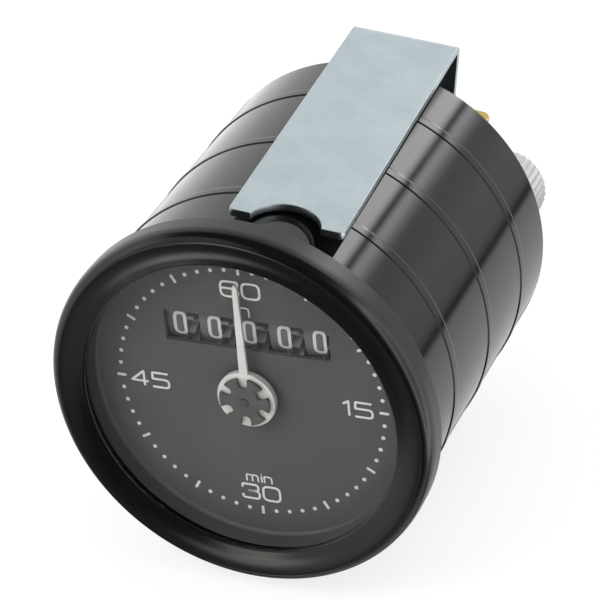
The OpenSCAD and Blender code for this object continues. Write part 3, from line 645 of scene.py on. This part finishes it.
# strokes on a square of half size 1, closed if the last point is the first; a third number is a corner's bend
figures = {
    "0": [[(1, 1), (-1, 1), (-1, -1), (1, -1), (1, 1)]],
    "1": [[(-0.5, 0.55), (0.15, 1, 0.1), (0.15, -1)]],
    "2": [[(-1, 0.5), (-1, 1), (1, 1), (1, 0.1), (-1, -0.6), (-1, -1, 0.1), (1, -1)]],
    "3": [[(-1, 0.5), (-1, 1), (0.9, 1), (0.9, 0.05), (-0.35, 0.05)],
          [(-0.35, 0.05), (1, 0.05), (1, -1), (-1, -1), (-1, -0.45)]],
    "4": [[(0.5, -1), (0.5, 1, 0.1), (-1, -0.4, 0.1), (1, -0.4)]],
    "5": [[(0.95, 1), (-0.9, 1, 0.1), (-0.95, 0.12, 0.1), (1, 0.12), (1, -1), (-1, -1)]],
    "6": [[(1, 0.45), (1, 1), (-1, 1), (-1, -1), (1, -1), (1, 0.1), (-1, 0.1)]],
    "7": [[(-1, 1), (1, 1, 0.1), (-0.2, -1)]],
    "8": [[(0.9, 1), (-0.9, 1), (-0.9, 0.06), (0.9, 0.06), (0.9, 1)],
          [(1, 0.06), (-1, 0.06), (-1, -1), (1, -1), (1, 0.06)]],
    "9": [[(-1, -0.45), (-1, -1), (1, -1), (1, 1), (-1, 1), (-1, -0.1), (1, -0.1)]],
    "m": [[(-1, -1), (-1, 1)], [(-1, 1), (0, 1), (0, -1)], [(0, 1), (1, 1), (1, -1)]],
    "i": [[(0, -1), (0, 1)], [(0, 1.45), (0, 1.75)]],
    "n": [[(-1, -1), (-1, 1)], [(-1, 1), (1, 1), (1, -1)]],
    "h": [[(-1, -1), (-1, 2.5)], [(-1, 1), (1, 1), (1, -1)]],
}


def figureLines(sign, centre, size, bend):
    lines = []
    for stroke in figures[sign]:
        closed = stroke[0] == stroke[-1]
        scaled = []
        for corner in stroke[:-1] if closed else stroke:
            spot = (centre[0] + corner[0] * size[0] / 2, centre[1] + corner[1] * size[1] / 2)
            scaled.append(spot + tuple(corner[2:]))
        lines.append((roundCorners(scaled, closed, radius=bend, steps=6), closed))
    return lines


dialPrint = {
    "tickRadius": 19.36, "dot": 0.3, "bar": (0.4, 1.35), "barCorner": 0.08, "tickHigh": 0.03,
    "tickRim": 0.01, "strokeHigh": 0.05,
    "numerals": {"60": (0.0, 16.35, 3.1), "15": (15.25, 0.0, 2.3), "30": (0.0, -16.5, 3.1),
                 "45": (-15.05, -0.1, 3.1)},  # middle and pitch
    "figureSize": (2.5, 2.3), "figureBend": 0.8, "figurePen": 0.34,
    "word": {"m": (-1.05, 1.7), "i": (0.35, 0.0), "n": (1.3, 1.1)}, "wordAt": (-0.1, -14.2), "wordHigh": 1.05,
    "hourAt": (0.25, 12.95), "hourSize": (1.45, 1.35), "wordPen": 0.24, "wordBend": 0.45,
}


def makeTicks(look):
    loops = []
    for i in range(60):
        angle = fullTurn * i / 60
        across = Vector((math.cos(angle), -math.sin(angle)))
        along = Vector((math.sin(angle), math.cos(angle)))
        middle = along * look["tickRadius"]
        if i % 5:
            loops.append(circlePath(look["dot"], middle, count=14))
        else:
            halfW, halfL = look["bar"][0] / 2, look["bar"][1] / 2
            corners = [middle + across * a + along * b for a, b in
                       ((-halfW, -halfL), (halfW, -halfL), (halfW, halfL), (-halfW, halfL))]
            loops.append(roundCorners([tuple(c) for c in corners], radius=look["barCorner"], steps=2))
    middle = (0, dialShape["front"], 0)
    return cutSheet("minuteMarks", loops, 2 * look["tickHigh"], look["tickRim"], facingFront, middle)


def printLines(name, lines, pen, look):
    piece = penStrokes(name, lines, pen, 2 * look["strokeHigh"])
    settle(piece, (math.pi / 2, 0, 0), (0, dialShape["front"], 0))
    return piece


def makeNumerals(look):
    lines = []
    for word, (u, w, pitch) in look["numerals"].items():
        for k, sign in enumerate(word):
            centre = (u + (k - 0.5) * pitch, w)
            lines += figureLines(sign, centre, look["figureSize"], look["figureBend"])
    return printLines("dialNumerals", lines, look["figurePen"], look)


def makeWords(look):
    lines = []
    for sign, (u, wide) in look["word"].items():
        centre = (look["wordAt"][0] + u, look["wordAt"][1])
        lines += figureLines(sign, centre, (wide, look["wordHigh"]), look["wordBend"])
    lines += figureLines("h", look["hourAt"], look["hourSize"], look["wordBend"])
    return printLines("dialWords", lines, look["wordPen"], look)


for printed in (makeTicks(dialPrint), makeNumerals(dialPrint), makeWords(dialPrint)):
    finishPiece(printed, "printWhite", "housing")
print("dial print made")


# minute hand and running rotor

handShape = {"hub": 4.25, "bore": 1.22, "front": -0.8, "rear": 0.2, "thick": 0.5, "rim": 0.1, "wide": 1.3,
             "tipWide": 0.75, "shoulder": 17.6, "tip": 18.1, "tipRound": 0.1, "overlap": 0.15, "arc": 96}


def makeHand(shape):
    half = shape["wide"] / 2
    tipHalf = shape["tipWide"] / 2
    leave = math.asin(half / shape["hub"])
    start = math.pi / 2 - leave
    arc = [start - (fullTurn - 2 * leave) * i / shape["arc"] for i in range(shape["arc"] + 1)]
    outline = [(shape["hub"] * math.cos(a), shape["hub"] * math.sin(a)) for a in arc]
    tipSide = shape["tip"] - shape["tipRound"]
    outline += [(-tipHalf, shape["shoulder"]), (-tipHalf * 0.5, tipSide), (0, shape["tip"]),
                (tipHalf * 0.5, tipSide), (tipHalf, shape["shoulder"])]
    loops = [outline, circlePath(shape["bore"], count=32)]
    sheet = frontSheet("minuteHand", loops, shape)
    hubFront = shape["front"] + shape["thick"] - shape["overlap"]
    hubEdge = shape["hub"] - 0.02  # just inside the sheet's edge
    profile = [(shape["bore"], hubFront), (hubEdge, hubFront), (hubEdge, shape["rear"], 0.15),
               (shape["bore"], shape["rear"], 0.05)]
    return joinUp([sheet, spinPiece("handHub", profile, shape["arc"])], "minuteHand")


minuteHand = makeHand(handShape)
finishPiece(minuteHand, "handWhite", "hand", ["minute_hand"])

rotorShape = {"radius": 3.7, "bore": 0.62, "notchHalf": 0.675, "notchCentre": 2.875, "lobes": 6,
              "front": -1.5, "thick": 0.5, "rim": 0.09, "corner": 0.22}


def makeRotor(shape):
    radius, half, centre = shape["radius"], shape["notchHalf"], shape["notchCentre"]
    lip = math.sqrt(radius ** 2 - half ** 2)
    edge = math.asin(half / radius)
    arcSpan = fullTurn / shape["lobes"] - 2 * edge
    # one notch: its walls and round floor, as (out, across, corner)
    walls = [(lip, half, shape["corner"]), (centre, half, 0)]
    turns = [math.pi / 2 + math.pi * i / 12 for i in range(1, 12)]
    floor = [(centre + half * math.cos(t), half * math.sin(t), 0) for t in turns]
    notch = walls + floor + [(out, -side, bend) for out, side, bend in reversed(walls)]
    outline = []
    for k in range(shape["lobes"]):
        middle = math.pi / 2 - k * fullTurn / shape["lobes"]
        along = Vector((math.cos(middle), math.sin(middle)))
        across = Vector((-along.y, along.x))
        for out, side, bend in notch:
            spot = along * out + across * side
            outline.append((spot.x, spot.y, bend))
        for i in range(1, 10):
            a = middle - edge - arcSpan * i / 10
            outline.append((radius * math.cos(a), radius * math.sin(a), 0))
    loops = [roundCorners(outline, steps=3), circlePath(shape["bore"], count=24)]
    return frontSheet("runningRotor", loops, shape)


runningRotor = makeRotor(rotorShape)
finishPiece(runningRotor, "rotorDark", "indicator", ["running_indicator"])
print("hand and rotor made")


# counter figures, ten on each drum

counterPrint = {
    "axis": (9.3, 9.3), "radius": 7.25, "size": (1.5, 3.3), "bend": 0.72, "pen": 0.48, "high": 0.03,
    "drop": 0.3, "step": 0.35, "unitsAt": 10.4, "pitch": 5.1,
}
decades = ("units", "tens", "hundreds", "thousands", "ten_thousands")  # from the right


def wrapFigures(piece, look, x, angle):
    # flat strokes are laid round the drum, their middle at the given angle
    y0, z0 = look["axis"]
    for spot in piece.data.vertices:
        u, w, t = spot.co / mm
        a = angle - w / look["radius"]
        reach = look["radius"] + t
        spot.co = Vector((x + u, y0 + reach * math.cos(a), z0 + reach * math.sin(a))) * mm


def makeDigits(name, look, x):
    signs = []
    for n in range(10):
        lines = figureLines(str(n), (0, 0), look["size"], look["bend"])
        fine = [(shortSteps(points, closed, look["step"]), closed) for points, closed in lines]
        piece = penStrokes("digit", fine, look["pen"], 2 * look["high"])
        wrapFigures(piece, look, x, math.pi + look["drop"] / look["radius"] + fullTurn * n / 10)
        signs.append(piece)
    return joinUp(signs, name)


for k, decade in enumerate(decades):
    name = "digits" + decade.title().replace("_", "")
    digits = makeDigits(name, counterPrint, counterPrint["unitsAt"] - k * counterPrint["pitch"])
    finishPiece(digits, "counterWhite", "counter_" + decade)
print("counter figures made")


# mounting bracket: folded zinc-plated strip

bracketShape = {
    "wide": 16.0, "thick": 1.1, "legOuter": 27.4, "crossRear": 57.8, "bendOuter": 1.7, "bendInner": 0.6,
    "front": 2.55, "footCorner": 0.8, "notchRadius": 5.001, "notchAt": 1.549, "hole": 2.6,
    "lean": math.radians(3), "edge": 0.12,
}


def makeBracket(shape):
    outer = shape["legOuter"]
    inner = outer - shape["thick"]
    rear = shape["crossRear"]
    inside = rear - shape["thick"]
    front = shape["front"]
    halfW = shape["wide"] / 2
    bends = [(front, outer), (rear, outer, shape["bendOuter"]), (rear, -outer, shape["bendOuter"]),
             (front, -outer), (front, -inner), (inside, -inner, shape["bendInner"]),
             (inside, inner, shape["bendInner"]), (front, inner)]
    points = [(-halfW, y, z) for y, z in roundCorners(bends, steps=8)]
    strip = pullSolid("bracketStrip", points, (shape["wide"], 0, 0))
    # feet: corners rounded and an arched notch
    corner = shape["footCorner"]
    plan = roundCorners([(-halfW, front, corner), (halfW, front, corner), (halfW, rear + 2),
                         (-halfW, rear + 2)], steps=6)
    feet = pullSolid("cutter", [(x, y, -2 * outer) for x, y in plan], (0, 0, 4 * outer))
    workWith(strip, feet, "INTERSECT")
    letGo()
    bpy.ops.mesh.primitive_cylinder_add(vertices=96, radius=shape["notchRadius"] * mm, depth=4 * outer * mm,
                                        location=(0, shape["notchAt"] * mm, 0))
    workWith(strip, takeUp("cutter"))
    for side in (-1, 1):
        workWith(strip, rodCutter((0, side * rearPlan["studs"]), shape["hole"], inside - 3, rear + 3))
    softEdges(strip, shape["edge"], 40)
    pickOnly(strip)
    pivot = Matrix.Translation((0, rear * mm, 0))
    lean = pivot @ Matrix.Rotation(shape["lean"], 4, "Z") @ pivot.inverted()
    strip.matrix_world = Matrix.Rotation(rearClock, 4, "Y") @ lean
    applyPlace()
    return strip


bracketStrip = makeBracket(bracketShape)
finishPiece(bracketStrip, "zincPlate", "clamp", ["mounting_bracket"], angle=30)
print("bracket made")


# rear fittings: threaded studs, washers, nuts, knurled thumb nuts

studShape = {"headRadius": 3.4, "headFront": 19.769, "seat": 21.869, "radius": 2.0, "root": 1.6,
             "threadFrom": 51.0, "end": 65.54, "pitch": 0.7, "crest": (0.42, 0.58),
             "taper": (1.2, 0.5), "slot": (1.6, 0.95), "threadSteps": 24}


def makeThread(shape):
    crest = shape["radius"]
    root = shape["root"]
    pitch = shape["pitch"]
    rise, fall = shape["crest"]
    thread = drawLine("studThread", [(root, 0, 0), (crest, rise * pitch, 0), (crest, fall * pitch, 0),
                                     (root, pitch, 0)])
    leaveEdit()
    wind = thread.modifiers.new("wind", "SCREW")
    wind.axis = "Y"
    wind.angle = fullTurn
    wind.screw_offset = pitch * mm
    wind.iterations = int((shape["end"] - shape["threadFrom"]) / pitch) - 1
    wind.steps = shape["threadSteps"]
    wind.render_steps = shape["threadSteps"]
    wind.use_merge_vertices = True
    wind.merge_threshold = nearPoints
    bpy.ops.object.modifier_apply(modifier=wind.name)
    editAll(thread)
    mergeNear()
    facesOut()
    settle(thread, move=(0, shape["threadFrom"], 0))
    # lead-in taper at the free end
    taperLong, slope = shape["taper"]
    for spot in thread.data.vertices:
        over = spot.co.y / mm - (shape["end"] - taperLong)
        radius = math.hypot(spot.co.x, spot.co.z) / mm
        limit = crest - slope * max(over, 0)
        if radius > limit:
            spot.co.x *= limit / radius
            spot.co.z *= limit / radius
    return thread


def makeStud(shape):
    core = shape["root"] + 0.02  # the thread's foot sinks into it
    plain = shape["threadFrom"] + 0.4  # end of the full shank
    head, front, seat, end = shape["headRadius"], shape["headFront"], shape["seat"], shape["end"]
    profile = [(0, front), (head, front, 0.4), (head, seat, 0.1), (shape["radius"], seat),
               (shape["radius"], plain), (core, plain + 0.1), (core, end - 0.5),
               (shape["root"] - 0.4, end, 0.05), (0, end)]
    rod = spinPiece("studRod", profile, 48)
    slotWide, slotDeep = shape["slot"]
    workWith(rod, boxCutter((0, front, 0), (8, 2 * slotDeep, slotWide)))  # right across the head
    return joinUp([rod, makeThread(shape)], "studRod")


def onStud(piece, name, side):
    # a copy of the piece on the upper (1) or the lower (-1) stud
    twin = piece.copy()
    twin.data = piece.data.copy()
    scene.collection.objects.link(twin)
    u, w = clocked(0, side * rearPlan["studs"])
    settle(twin, (0, rearClock, 0), (u, 0, w))
    return takeUp(name)


def atStuds(piece, name):
    # one copy per stud, both joined
    pair = [onStud(piece, name, side) for side in (-1, 1)]
    bpy.data.objects.remove(piece)
    return joinUp(pair, name)


caseStuds = atStuds(makeStud(studShape), "caseStuds")
finishPiece(caseStuds, "steelPolished", "housing", ["case_studs"], angle=30)

washerShape = {"bore": 2.1, "radius": 4.4, "thick": 0.8, "edge": 0.16}
washerPlaces = {"caseWashers": (50.2, "housing", "case_washers"),
                "clampWashers": (58.091, "clamp", "bracket_washers")}


def makeWasher(shape, front):
    rear = front + shape["thick"]
    profile = [(shape["bore"], front, 0.06), (shape["radius"], front, shape["edge"]),
               (shape["radius"], rear, shape["edge"]), (shape["bore"], rear, 0.06)]
    return spinPiece("washer", profile, 72)


for name, (front, body, node) in washerPlaces.items():
    washers = atStuds(makeWasher(washerShape, front), name)
    finishPiece(washers, "zincPlate", body, [node])

nutShape = {"flats": 7.0, "front": 51.0, "thick": 3.2, "bore": 2.02, "edge": 0.06, "crown": 3.45}


def turnedBlank(front, rear, radius, over, drop):
    # a disc with both its edges turned down from radius
    return spinPiece("cutter", [(0, front), (radius, front), (over, front + drop), (over, rear - drop),
                                (radius, rear), (0, rear)], 96)


def makeHexNut(shape):
    front = shape["front"]
    rear = front + shape["thick"]
    corner = shape["flats"] / math.sqrt(3)
    nut = rodCutter((0, 0), corner, front, rear, sides=6)
    settle(nut, (0, math.radians(30), 0))
    crown = shape["crown"]
    workWith(nut, turnedBlank(front, rear, crown, corner + 0.05, (corner - crown) * 0.6), "INTERSECT")
    workWith(nut, rodCutter((0, 0), shape["bore"], front - 1, rear + 1))
    softEdges(nut, shape["edge"], 25)
    return nut


caseNuts = atStuds(makeHexNut(nutShape), "caseNuts")
finishPiece(caseNuts, "zincPlate", "housing", ["case_nuts"], angle=30)


ridgeSoft = 0.08  # rounding of a knurl's ridges


def makeKnurl(name, shape, front, rear):
    # every second edge of a prism is pressed in, then both ends are turned down
    radius, deep, chamfer = shape["radius"], shape["knurl"], shape["chamfer"]
    sides = 2 * shape["ridges"]
    prism = rodCutter((0, 0), radius, front, rear, sides)
    step = fullTurn / sides
    for spot in prism.data.vertices:
        place = round(math.atan2(spot.co.z, spot.co.x) / step)
        if place % 2:
            spot.co.x *= (radius - deep) / radius
            spot.co.z *= (radius - deep) / radius
    softEdges(prism, ridgeSoft, 25)
    workWith(prism, turnedBlank(front, rear, radius - chamfer, radius + 0.05, chamfer), "INTERSECT")
    return takeUp(name)


thumbShape = {"radius": 5.0, "knurl": 0.35, "ridges": 28, "front": 58.941, "thick": 4.0, "collar": (4.2, 0.8),
              "bore": 2.05, "chamfer": 0.45}


def makeThumbNut(shape, name):
    seat = shape["front"]
    front = seat + shape["collar"][1]
    rear = seat + shape["thick"]
    knurl = makeKnurl(name, shape, front, rear)
    collarRadius = shape["collar"][0]
    collar = spinPiece("collar", [(0, seat), (collarRadius, seat, 0.2), (collarRadius, front + 0.3),
                                  (0, front + 0.3)], 72)
    workWith(knurl, collar, "UNION")
    # bore, countersunk at the free end
    bore = shape["bore"]
    mouth = spinPiece("cutter", [(0, seat - 1), (bore, seat - 1), (bore, rear - 0.35),
                                 (bore + 0.5, rear + 0.15), (0, rear + 0.15)], 48)
    workWith(knurl, mouth)
    return knurl


thumbNut = makeThumbNut(thumbShape, "thumbNut")
for name, side, body, node in (("thumbNutUpper", 1, "upper_nut", "thumb_nut_upper"),
                               ("thumbNutLower", -1, "lower_nut", "thumb_nut_lower")):
    nut = onStud(thumbNut, name, side)
    finishPiece(nut, "brassBright", body, [node], angle=30)
bpy.data.objects.remove(thumbNut)
print("studs, washers and nuts made")


# blades and lamp holder

bladeShape = {"thick": 0.8, "tail": (37.5, 1.0), "collar": (46.8, 48.2, 3.1), "half": 2.4, "tip": 58.8,
              "bevel": 0.9, "corner": 0.4, "eye": 0.8, "eyeAt": 55.8, "rim": 0.14}


def makeBlades(shape):
    tailFrom, tailHalf = shape["tail"]
    collarFrom, collarTo, collarHalf = shape["collar"]
    half, tip, bevel = shape["half"], shape["tip"], shape["bevel"]
    right = [(tailHalf, tailFrom), (tailHalf, collarFrom), (collarHalf, collarFrom), (collarHalf, collarTo),
             (half, collarTo), (half, tip - bevel, shape["corner"]), (half - bevel, tip, shape["corner"])]
    left = [(-x, y) + tuple(rest) for x, y, *rest in reversed(right)]
    outline = roundCorners(right + left, steps=4)
    loops = [outline, circlePath(shape["eye"], (0, shape["eyeAt"]), count=28)]
    blades = []
    for side in (-1, 1):
        spot = (side * rearPlan["blades"][0], 0, rearPlan["blades"][1])
        blade = cutSheet("blade", loops, shape["thick"], shape["rim"], facingUp, spot)
        settle(blade, (0, rearClock, 0))
        blades.append(blade)
    return joinUp(blades, "bladeTerminals")


bladeTerminals = makeBlades(bladeShape)
finishPiece(bladeTerminals, "brassBright", "housing", ["blade_terminals"], angle=30)

lampShape = {"radius": 5.95, "knurl": 0.35, "ridges": 36, "front": 50.25,
             "grip": 58.2, "cap": (4.95, 58.7), "dish": (3.6, 3.3, 0.35), "neck": 4.4, "neckRear": 51.0,
             "nose": 45.6, "socket": (2.32, 49.2), "lug": (10.8, 1.6, 2.2), "lugAt": 47.3, "chamfer": 0.5}


def makeLampHolder(shape):
    grip = makeKnurl("lampGrip", shape, shape["front"], shape["grip"])
    capRadius, capRear = shape["cap"]
    capFront = shape["grip"] - 0.6  # sunk into the grip
    dishOuter, dishInner, dishDeep = shape["dish"]
    cap = spinPiece("cap", [(0, capFront), (capRadius, capFront), (capRadius, capRear, 0.3),
                            (dishOuter, capRear, 0.25), (dishInner, capRear - dishDeep, 0.2),
                            (0, capRear - dishDeep)], 72)
    workWith(grip, cap, "UNION")
    neck = spinPiece("neck", [(0, shape["nose"]), (shape["neck"], shape["nose"], 0.3),
                              (shape["neck"], shape["neckRear"]), (0, shape["neckRear"])], 72)
    workWith(grip, neck, "UNION")
    workWith(grip, boxCutter((0, shape["lugAt"], 0), shape["lug"]), "UNION")
    socketRadius, socketFloor = shape["socket"]
    workWith(grip, rodCutter((0, 0), socketRadius, shape["nose"] - 1, socketFloor))
    u, w = clocked(*rearPlan["lamp"])
    settle(grip, (0, rearClock, 0), (u, 0, w))
    return takeUp("lampHolder")


lampHolder = makeLampHolder(lampShape)
finishPiece(lampHolder, "lampWhite", "lamp", ["lamp_holder"], angle=30)
print("blades and lamp holder made")


# inner pieces keep their CAD shape and get a finish

innerFinish = {
    "sealRubber": ["lens_seal"], "spindleDark": ["indicator_spindle"], "plateDark": ["movement_plate"],
    "steelPolished": ["hand_arbor", "drum_axle", "pinion_axle", "frame_screws", "gearbox_screws",
                      "quartz_crystal"],
    "drumGrey": ["drum_" + decade for decade in decades],
    "pinionNatural": ["transfer_pinion_" + decade for decade in decades[1:]],
    "brassBright": ["drive_pinion", "board_pillars"], "zincPlate": ["counter_frame", "motor"],
    "gearboxIvory": ["gearbox_front", "gearbox_rear"], "boardGreen": ["circuit_board"],
    "chipBlack": ["driver_chip"], "capacitorBlue": ["capacitor"], "bulbClear": ["lamp_bulb"],
}
for finishName, nodes in innerFinish.items():
    for node in nodes:
        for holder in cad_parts[node].material_slots:
            holder.material = finishes[finishName]
print("inner pieces finished:", sum(len(nodes) for nodes in innerFinish.values()))


# floor, lamps and world (metres)

studio = {
    "floorSize": 6.0, "floorGap": 0.0002, "floorGlow": 0.8, "floorShade": 0.3, "ambient": 0.42,
    "mirrorTop": 6.0,  # the brightest strip that the mirrored room can have
    # what stands behind the object: degrees about the case's axis, from +x up, and brightness
    "behind": [(-180, 1.3), (-150, 1.45), (-140, 1.0), (-134, 0.14), (-112, 0.12), (-104, 0.8), (-40, 0.98),
               (-26, 0.93), (-24, 0.7), (-21.5, 0.16), (-19, 0.18), (-16, 0.45), (-11, 0.66), (10, 0.86),
               (22, 0.78), (33, 0.76), (37, 0.9), (41, 1.6), (45, 2.7), (48, 3.0), (50, 2.0), (52, 0.65),
               (53.5, 0.8), (56, 3.3), (58.5, 4.8), (68, 4.7), (72, 1.1), (140, 1.05), (170, 1.15),
               (180, 1.3)],
    # what stands in front of it, by x of the direction
    "ahead": [(-1.0, 0.95), (-0.8, 0.9), (-0.7, 0.25), (-0.6, 0.09), (-0.2, 0.07), (0.35, 0.1), (0.5, 0.2),
              (0.68, 0.6), (0.8, 2.3), (0.88, 1.6), (1.0, 1.0)],
    "depth": (0.45, 0.7),  # y of the direction where the front gives way to what is behind
    # soft lamps and cards in front: direction, half angle of core and edge in degrees, brightness
    "patches": [((-0.365, -0.925, -0.12), 3, 7, 1.9), ((-0.365, -0.89, -0.27), 3, 7, 1.9),
                ((-0.35, -0.53, -0.77), 2, 6, 1.9), ((-0.26, -0.6, -0.755), 2, 6, 1.0),
                ((-0.62, -0.72, -0.30), 11, 22, 0.65), ((-0.13, -0.72, -0.68), 6, 18, 0.33),
                ((0.15, -0.1, -0.98), 15, 35, 0.6), ((-0.62, -0.68, 0.4), 18, 32, 0.55)],
    "lamps": {
        "keyLeft": {"place": (-0.20, -0.22, 0.27), "size": (0.26, 0.26), "watts": 0.66},
        "rearRight": {"place": (0.26, 0.52, 0.36), "size": (0.16, 0.50), "watts": 1.6},
        "topSoft": {"place": (0.0, 0.05, 0.70), "size": (0.60, 0.60), "watts": 1.2},
    },
}


def addLamp(name, setup, target=(0, 0.025, 0)):
    letGo()
    bpy.ops.object.light_add(type="AREA", location=setup["place"])
    lamp = bpy.context.object
    lamp.name = name
    lamp.data.shape = "RECTANGLE"
    lamp.data.size = setup["size"][0]
    lamp.data.size_y = setup["size"][1]
    lamp.data.energy = setup["watts"]
    aim = Vector(target) - Vector(setup["place"])
    lamp.rotation_euler = aim.to_track_quat("-Z", "Y").to_euler()
    lamp.visible_camera = False
    lamp.visible_glossy = False  # the mirrored room has its own strips


for name, setup in studio["lamps"].items():
    addLamp(name, setup)


def seenStraight(tree):
    # 1 for what the camera sees itself or through the lens
    paths = addNode(tree, "LightPath", {})
    return combine(tree, "MAXIMUM", paths.outputs["Is Camera Ray"], paths.outputs["Is Transmission Ray"])


def addFloor(setup):
    letGo()
    low = cadBox[0][2] - setup["floorGap"]
    bpy.ops.mesh.primitive_plane_add(size=setup["floorSize"], location=(0, 0, low))
    floor = takeUp("paleFloor")
    pale, tree, matt = newFinish("paleFloor")
    feed(tree, matt, {"Roughness": 0.9, "Specular IOR Level": 0.0,
                      "Base Color": (setup["floorShade"],) * 3 + (1.0,)})
    level = combine(tree, "MULTIPLY", seenStraight(tree), setup["floorGlow"])
    glow = addNode(tree, "Emission", {"Strength": level})
    both = addNode(tree, "AddShader", {0: matt.outputs["BSDF"], 1: glow.outputs["Emission"]})
    feed(tree, tree.nodes["Material Output"], {"Surface": both.outputs["Shader"]})
    floor.data.materials.append(pale)
    floor.visible_glossy = False  # the world gives what is mirrored, floor included


addFloor(studio)


def greyRamp(tree, source, stops, low, high, top):
    # greys from (place, brightness) stops, as shares of the span and of top
    shares = [((place - low) / (high - low), (bright / top,) * 3 + (1.0,)) for place, bright in stops]
    return addRamp(tree, remap(tree, source, low, high), shares)


def addPatch(tree, direction, before, aim, core, edge, strength):
    near = addNode(tree, "VectorMath", {0: direction, 1: Vector(aim).normalized()}, operation="DOT_PRODUCT")
    fade = remap(tree, near.outputs["Value"], math.cos(math.radians(edge)), math.cos(math.radians(core)),
                 0.0, strength, "SMOOTHSTEP")
    return combine(tree, "ADD", before, fade)


def setWorld(setup):
    # white for what is seen; a studio with strip lamps for what is mirrored; an even light otherwise
    world = bpy.data.worlds.new("studio")
    scene.world = world
    world.use_nodes = True
    tree = world.node_tree
    top = setup["mirrorTop"]
    coords = addNode(tree, "TexCoord", {})
    direction = coords.outputs["Generated"]
    parts = addNode(tree, "SeparateXYZ", {"Vector": direction})
    around = combine(tree, "ARCTAN2", parts.outputs["Z"], parts.outputs["X"])
    behindStops = [(math.radians(place), bright) for place, bright in setup["behind"]]
    behind = greyRamp(tree, around, behindStops, -math.pi, math.pi, top)
    ahead = greyRamp(tree, parts.outputs["X"], setup["ahead"], -1, 1, top)
    depth = remap(tree, parts.outputs["Y"], *setup["depth"])
    room = addNode(tree, "Mix", {"Factor": depth, "A": ahead, "B": behind}, data_type="RGBA")
    bright = combine(tree, "MULTIPLY", room.outputs["Result"], top)
    for aim, core, edge, strength in setup["patches"]:
        bright = addPatch(tree, direction, bright, aim, core, edge, strength)
    paths = addNode(tree, "LightPath", {})
    mirrored = addNode(tree, "Mix", {"Factor": paths.outputs["Is Glossy Ray"], "A": setup["ambient"],
                                     "B": bright})
    level = addNode(tree, "Mix", {"Factor": seenStraight(tree), "A": mirrored.outputs["Result"], "B": 1.0})
    feed(tree, tree.nodes["Background"], {"Color": (1, 1, 1, 1), "Strength": level.outputs["Result"]})


setWorld(studio)
print("studio set")
